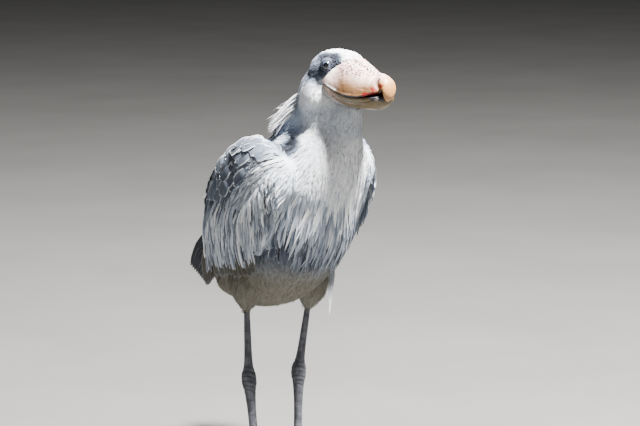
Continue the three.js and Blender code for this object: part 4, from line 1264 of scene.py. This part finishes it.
spots = scatter(headZone, 2.1, 11)
keep = clearOfBill(spots["root"] + spots["out"] * 1.5, 0.6)
for eyeSpot in eyeSpots:
    keep &= np.linalg.norm(spots["root"] - eyeSpot, axis=1) > 15.5
spots = kept(spots, keep)
coat = []
coat += grow("headCoat", spots, {
    "length": headLength, "width": 1.8, "outline": [0.7, 1, 0.8, 0.15], "strands": 3, "fan": 0.14,
    "spread": 1.2, "lift": 2.4, "sink": 1.5, "standVariety": 0.06, "sway": 0.08, "cup": 0.25,
    "shortening": 0.15}, coatFinishes["short"], 12)
coat += grow("underCoat", scatter(lambda p: ~headZone(p) & ~downZone(p), 11, 17), {
    "length": 26, "width": 12, "outline": [0.7, 1, 0.9, 0.4], "across": [-1, 0, 1], "lift": 1.6,
    "sink": 1,
    "cup": 0.3}, coatFinishes["neck"], 18)
coat += grow("neckCoat", scatter(neckZone, 3.4, 21), {
    "length": 20, "width": 2.8, "outline": [0.6, 1, 0.9, 0.12], "strands": 3, "fan": 0.1, "spread": 1.6,
    "lift": 2.6, "sink": 1.5, "standVariety": 0.04, "sway": 0.06, "cup": 0.3, "shortening": 0.12},
    coatFinishes["neck"], 22)
coat += grow("upperBreast", scatter(upperBreastZone, 4.3, 25), {
    "length": 34, "width": 4.4, "outline": [0.6, 1, 0.95, 0.7, 0.08], "strands": 2, "fan": 0.06,
    "spread": 1.6,
    "lift": 3.2, "sink": 2, "standVariety": 0.03, "sway": 0.05, "cup": 0.3, "rollVariety": 0.2},
    coatFinishes["neck"], 26)
coat += grow("breastPlumes", scatter(lowerBreastZone, 5.0, 31), {
    "length": lambda p: 66 + 44 * smoothStep(800, 640, p[:, 2]), "width": 6,
    "outline": [0.5, 0.9, 1, 0.95, 0.75, 0.06], "across": [-1, 0, 1], "strands": 1,
    "lift": 3.8, "sink": 3, "stand": 0.03, "standVariety": 0.035, "sway": 0.1, "cup": 0.25,
    "rollVariety": 0.3, "cling": (1, 1, 0.7, 0.45)}, coatFinishes["plume"], 32)
broad = {"outline": [0.4, 0.8, 1, 1, 0.9, 0.66, 0.3], "rows": [0, 0.25, 0.5, 0.7, 0.86, 0.95, 1],
         "across": [-1, -0.6, 0, 0.6, 1], "tipRound": 0.22, "variety": 0.06, "sink": 5, "cup": 0.12,
         "cling": (1, 1, 0.9, 0.8), "rollVariety": 0.06, "liftVariety": 0.2}
coat += grow("mantleBase", scatter(backZone, 20, 41), {
    **broad, "length": 60, "width": 38, "lift": 2}, coatFinishes["mantle"], 42)
rng = np.random.default_rng(44)
rows = [[x + 14 * (k % 2), y, 1000] for k,
        y in enumerate(range(-62, 190, 25)) for x in range(-112, 112, 28)]
spots = placed(np.array(rows) + rng.normal(0, 2.5, (len(rows), 3)))
coat += grow("mantleFeathers", kept(spots, backZone(spots["root"])), {
    **broad, "length": 62, "width": 40, "lift": 4, "stand": 0.02}, coatFinishes["mantle"], 43)
coat += grow("flankFeathers", scatter(flankZone, 5.0, 46), {
    "length": 38, "width": 4.4, "outline": [0.6, 1, 0.95, 0.7, 0.08], "strands": 2, "fan": 0.08,
    "spread": 2,
    "lift": 3.6, "sink": 2, "stand": 0.02, "standVariety": 0.03, "sway": 0.06, "cup": 0.3,
    "rollVariety": 0.2},
    coatFinishes["neck"], 47)
coat += grow("bellyDown", scatter(downZone, 4.4, 51), {
    "length": lambda p: 32 + 12 * smoothStep(120, 200, p[:, 1]) - 8 * smoothStep(450, 415, p[:, 2]),
    "width": 1.6,
    "outline": [0.8, 1, 0.8, 0.1], "strands": 7, "fan": 0.16, "spread": 3.4, "lift": 4, "sink": 2,
    "stand": 0.07, "standVariety": 0.06, "curl": 0.1, "sway": 0.14, "cup": 0.3, "shortening": 0.2,
    "cling": (1, 0.9, 0.7, 0.6)}, coatFinishes["down"], 52)
coat += grow("scapularBase", scatter(scapularZone, 19, 61), {
    **broad, "length": 60, "width": 36, "lift": 2}, coatFinishes["mantle"], 62)
upperEdge = [[-160, 852], [-110, 866], [-50, 858], [10, 826], [60, 776], [110, 700], [150, 640]]
rows = []
for k in range(9):  # rows along the wing's upper edge, each set half a feather on from the last
    line = alongLine([[0, *p] for p in upperEdge], (np.arange(13) + 0.5 * (k % 2)) / 13)[:, 1:]
    for side in (-1, 1):
        rows += [[side * 165, y - 9 * k, z + 10 - 19 * k] for y, z in line]
spots = placed(np.array(rows) + rng.normal(0, 2.5, (len(rows), 3)))
coat += grow("scapulars", kept(spots, scapularZone(spots["root"])), {
    **broad, "length": 66, "width": 42, "lift": 4.5, "stand": 0.03}, coatFinishes["mantle"], 63)
coat += grow("shoulderFeathers", scatter(shoulderZone, 5.8, 71), {
    "length": 44, "width": 6.4, "outline": [0.5, 0.9, 1, 0.85, 0.06], "across": [-1, 0, 1],
    "lift": 4.5, "sink": 3, "stand": 0.04, "standVariety": 0.03, "sway": 0.1, "cup": 0.2,
    "rollVariety": 0.25}, coatFinishes["shoulder"], 72)
coat += grow("lesserCoverts", scatter(covertZone, 8, 81), {
    "length": 70, "width": 10, "outline": [0.5, 0.9, 1, 0.9, 0.7, 0.06], "across": [-1, 0, 1],
    "lift": 5, "sink": 3, "stand": 0.02, "standVariety": 0.02, "sway": 0.08, "cup": 0.2,
    "rollVariety": 0.22}, coatFinishes["covert"], 82)


# The long feathers of wings, tail and crest.

def wingFace(side, y, z):  # x of the folded wing's outer face, for places in the side view
    wing = Limb(wingShape(side), (0.14, 0.05), 0.9)
    u = np.linspace(0, 1, 121)
    middle, along = wing.middle(u), wing.heading(u)
    miss = np.abs((y[:, None] - middle[:, 1]) * along[:, 1] + (z[:, None] - middle[:, 2]) * along[:, 2])
    k = miss.argmin(1)
    rise = (y - middle[k, 1]) * -along[k, 2] + (z - middle[k, 2]) * along[k, 1]
    reach = alongLine(wing.stations[:, 3:], u[k])
    rounded = wing.rounding(u[k])
    deep = np.maximum(np.where(rise > 0, reach[:, 1], reach[:, 2]) * rounded, 1e-6)
    share = np.minimum(1, np.abs(rise) / deep)
    return middle[k, 0] + side * reach[:, 0] * rounded * np.sqrt(1 - np.minimum(0.82, share ** 2.2))


def wingLines(side, roots, tips, lift, bow):
    roots, tips = np.asarray(roots, float), np.asarray(tips, float)
    span = tips - roots
    far = np.linalg.norm(span, axis=1)
    bend = np.stack([-span[:, 1], span[:, 0]], -1) / far[:, None]
    lines = []
    for s in (0, 0.25, 0.5, 0.75, 1):
        place = roots + span * s + bend * (math.sin(math.pi * s) * bow)
        rise = lift - 12 * (1 - s / 0.5) if s < 0.5 else lift
        lines.append(np.stack([wingFace(side, place[:, 0], place[:, 1]) + side * rise,
                               place[:, 0], place[:, 1]], -1))
    outs = np.broadcast_to(unit(np.array([side, 0.1, 0.05])), np.array(lines).shape).copy()
    return np.array(lines), outs, far


wingPlan = {
    "primaries": {"count": 10, "width": 26, "tone": 1.0, "finish": "flight"},
    "secondaries": {"count": 18, "span": (0.36, 1), "rise": -14, "ragged": 5, "length": 130, "lean": 26,
                    "width": 28, "lift": -1.5, "tone": 0.94, "finish": "flight"},
    "greaterCoverts": {"count": 88, "span": (0, 0.92), "rise": 18, "ragged": 11, "length": 104,
                       "lean": 24,
                       "width": 8.5, "lift": 1.5, "tone": 0.38, "finish": "covert", "sway": 0.05,
                       "mixed": 0.14},
    "medianCoverts": {"count": 100, "span": (0, 0.9), "rise": 54, "ragged": 16, "length": 96,
                      "lean": 22,
                      "width": 7, "lift": 3.5, "tone": 0.32, "finish": "covert", "sway": 0.06,
                      "mixed": 0.14},
    "innerCoverts": {"count": 100, "span": (0, 0.86), "rise": 92, "ragged": 22, "length": 88,
                     "lean": 18,
                     "width": 6.5, "lift": 5, "tone": 0.28, "finish": "covert", "sway": 0.07,
                     "mixed": 0.12},
}
longOutline = {"outline": [0.55, 0.85, 1, 1, 0.95, 0.8, 0.5, 0.1],
               "rows": [0, 0.15, 0.35, 0.55, 0.72, 0.86, 0.95, 1],
               "across": [-1, -0.5, 0, 0.5, 1], "tipRound": 0.15, "lift": 0, "liftVariety": 0,
               "sink": 0,
               "cup": 0.12, "rollVariety": 0.05}
for name, side in (("right", -1), ("left", 1)):
    for tier, plan in wingPlan.items():
        rng = np.random.default_rng(90 + len(tier))
        count = plan["count"]
        s = np.linspace(0, 1, count)[:, None]
        if tier == "primaries":
            roots = np.array([132, 606]) * (1 - s) + np.array([92, 536]) * s
            tips = np.array([266, 494]) * (1 - s) + np.array([208, 452]) * s
            lift, bow = -2 - 8.4 * s[:, 0], 10
        else:
            low, high = plan["span"]
            edge = alongLine(edgeLine, low + (high - low) * s[:, 0])
            tips = edge + np.stack([2 * rng.normal(0, 1, count),
                                    plan["rise"] + plan["ragged"] * rng.uniform(-1, 1, count)], -1)
            long = 0.5 + 0.5 * smoothStep(0, 0.3, s[:, 0])
            roots = tips + np.stack([-plan["lean"] * long - 20 * s[:, 0], plan["length"] * long], -1)
            lift, bow = plan["lift"] + 1.2 * (np.arange(count) % 2), 6
        lines, outs, far = wingLines(side, roots, tips, lift, bow)
        tone = plan["tone"] + plan.get("mixed", 0.04) * rng.normal(0, 1, count)
        coat += sheets(f"{tier}_{name}", lines, outs,
                       {**longOutline, "roll": -side * 0.14, "rollVariety": 0.2,
                                                         "sway": plan.get("sway", 0)},
                      coatFinishes[plan["finish"]], uvNear(lines[0]), tone,
                      np.full(count, 0.35 if tier == "secondaries" else 0.0), far, plan["width"], 7)

looseRoots = [[-36 + 4 * i, 606 - 8 * i] for i in range(3)]
looseTips = [[-30 + 4 * i, 384 + 30 * i] for i in range(3)]
lines, outs, far = wingLines(1, looseRoots, looseTips, np.array([5, 3, 1]), 4)
coat += sheets("looseFeathers", lines, outs, longOutline, coatFinishes["covert"], uvNear(lines[0]),
                       np.array([0.16, 0.2, 0.3]), np.zeros(3), far, 11, 8)

tailPlan = {"count": 12, "width": 27}
out = np.linspace(-1, 1, tailPlan["count"])
odd = np.arange(tailPlan["count"]) % 2
roots = np.stack([out * 30, np.full(len(out), 196.0), 584 + 3 * odd], -1)
tips = np.stack([out * 52, 272 - 10 * out ** 2, 480 + 4 * np.abs(out) + 3 * odd], -1)
lines = np.array([roots + (tips - roots) * s + np.array([0, 0.6, 0.7]) * 7 * math.sin(math.pi * s)
                  for s in (0, 0.25, 0.5, 0.75, 1)])
outs = np.broadcast_to(unit(np.stack([0.15 * out, 0 * out + 0.75, 0 * out + 0.65], -1)), lines.shape)
coat += sheets("tailFeathers", lines, outs, longOutline, coatFinishes["flight"], uvNear(lines[0]),
                      np.full(len(out), 0.8), np.zeros(len(out)), np.linalg.norm(tips - roots, axis=1),
                      tailPlan["width"], 9)

crestPlan = {"count": 420, "width": 3.2}
rng = np.random.default_rng(14)
s = rng.random(crestPlan["count"])
wave = rng.normal(0, 1, crestPlan["count"])
roots = np.stack([-10 - 36 * s, -98 - 8 * s, 938 + 11 * wave], -1)
short = rng.uniform(0.55, 1, crestPlan["count"])[:, None]
tips = np.stack([-34 - 44 * s, -22 - 20 * s + 8 * rng.normal(0, 1, len(s)),
                 878 - 12 * s + 10 * rng.normal(0, 1, len(s))], -1)
tips = roots + (tips - roots) * short
lines = np.array([roots + (tips - roots) * t + np.array([-1, 0.7,
                                                         0.7]) * 3 * math.sin(math.pi * min(t, 0.8))
                  for t in (0, 0.25, 0.5, 0.75, 1)])
outs = np.broadcast_to(unit(np.array([-0.5, 0.6, 0.6])), lines.shape)
coat += sheets("crestPlumes", lines, outs, {
    "outline": [0.6, 1, 1, 0.9, 0.7, 0.1], "across": [-1, 0, 1], "lift": 1, "sink": 0, "sway": 0.12,
    "standVariety": 0.05, "rollVariety": 0.5, "cup": 0.3}, coatFinishes["neck"], uvNear(lines[0]),
    np.full(len(s), 0.02), np.zeros(len(s)), np.linalg.norm(tips - roots, axis=1), crestPlan["width"],
    15)
report(f"long feathers, coat now {coatSize['faces']} faces")

# What each piece stands for.

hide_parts("head", "neck", "torso", "tail", "wing_right", "wing_left", "thigh_right",
            "thigh_left")
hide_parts("bill_upper")
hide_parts("bill_lower")
for name in ("right", "left"):
    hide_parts(f"eye_{name}")
    piece, claws = legPieces[name]
    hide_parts(f"shank_{name}", f"tarsus_{name}",
                *[f"toe_{t}_{name}" for t in legPlan["reach"]])
    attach(piece, "root")
    for toe, claw in claws:
        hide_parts(f"claw_{toe}_{name}")
        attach(claw, "root")
for piece in [skin, upperBill, lowerBill, *eyes.values(), *lids.values()]:
    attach(piece, "root")
for piece in coat:
    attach(piece, "root")

# Floor, light and camera.

studio = {"target": (0, -0.0676, 0.7113), "distance": 6.36, "azimuth": -40, "elevation": 9,
          "lens": 138.4}


made, tree, shader, put = nodeMaker("studioFloor", 0.9, 0.2)
place = put("ShaderNodeTexCoord").outputs["Object"]
cloud = put("ShaderNodeTexNoise", {"Vector": place, "Scale": 1.5, "Detail": 3.0}).outputs[0]
tree.links.new(rampNode(put, cloud, [(0.3, colour(99, 99, 98)), (0.7, colour(104, 104, 103))]),
               shader.inputs["Base Color"])
mesh = bpy.data.meshes.new("floor")
mesh.from_pydata([(-80, -80, 0), (80, -80, 0), (80, 80, 0), (-80, 80, 0)], [], [(0, 1, 2, 3)])
floor = bpy.data.objects.new("floor", mesh)
mesh.materials.append(made)
bpy.context.scene.collection.objects.link(floor)
floor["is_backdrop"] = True

world = bpy.data.worlds.new("studio")
bpy.context.scene.world = world
world.use_nodes = True
world.node_tree.nodes["Background"].inputs[0].default_value = (0.86, 0.88, 0.92, 1)
world.node_tree.nodes["Background"].inputs[1].default_value = 0.07


def lamp(name, place, size, power, tint=(1, 1, 1)):
    light = bpy.data.lights.new(name, "AREA")
    light.shape = "DISK"
    light.size, light.energy, light.color = size, power, tint
    holder = bpy.data.objects.new(name, light)
    holder.location = place
    holder.rotation_euler = (Vector((0, 0, 0.7)) - Vector(place)).to_track_quat("-Z", "Y").to_euler()
    bpy.context.scene.collection.objects.link(holder)


lamp("keyLight", (0.1, -2.7, 6.3), 0.9, 5800, (1, 0.98, 0.95))
lamp("fillLight", (-3.6, -2.4, 3.4), 2.4, 16, (0.9, 0.95, 1))
lamp("rimLight", (2.4, 3.2, 3.2), 2.0, 45)

target = Vector(studio["target"])
a, e = math.radians(studio["azimuth"]), math.radians(studio["elevation"])
back = Vector((math.sin(a) * math.cos(e), -math.cos(a) * math.cos(e), math.sin(e)))
camera = bpy.data.objects.new("camera", bpy.data.cameras.new("camera"))
camera.data.lens = studio["lens"]
camera.data.sensor_width = 36
camera.location = target + back * studio["distance"]
camera.rotation_mode = "QUATERNION"
camera.rotation_quaternion = (-back).to_track_quat("-Z", "Y")
camera.data.clip_start, camera.data.clip_end = 0.1, 60
bpy.context.scene.collection.objects.link(camera)
bpy.context.scene.camera = camera

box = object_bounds()
report(f"done: coat of {coatSize['faces']} faces; box {[round(v, 3) for c in box for v in c]}"
       f" against {[round(v, 3) for c in cadBox for v in c]}")
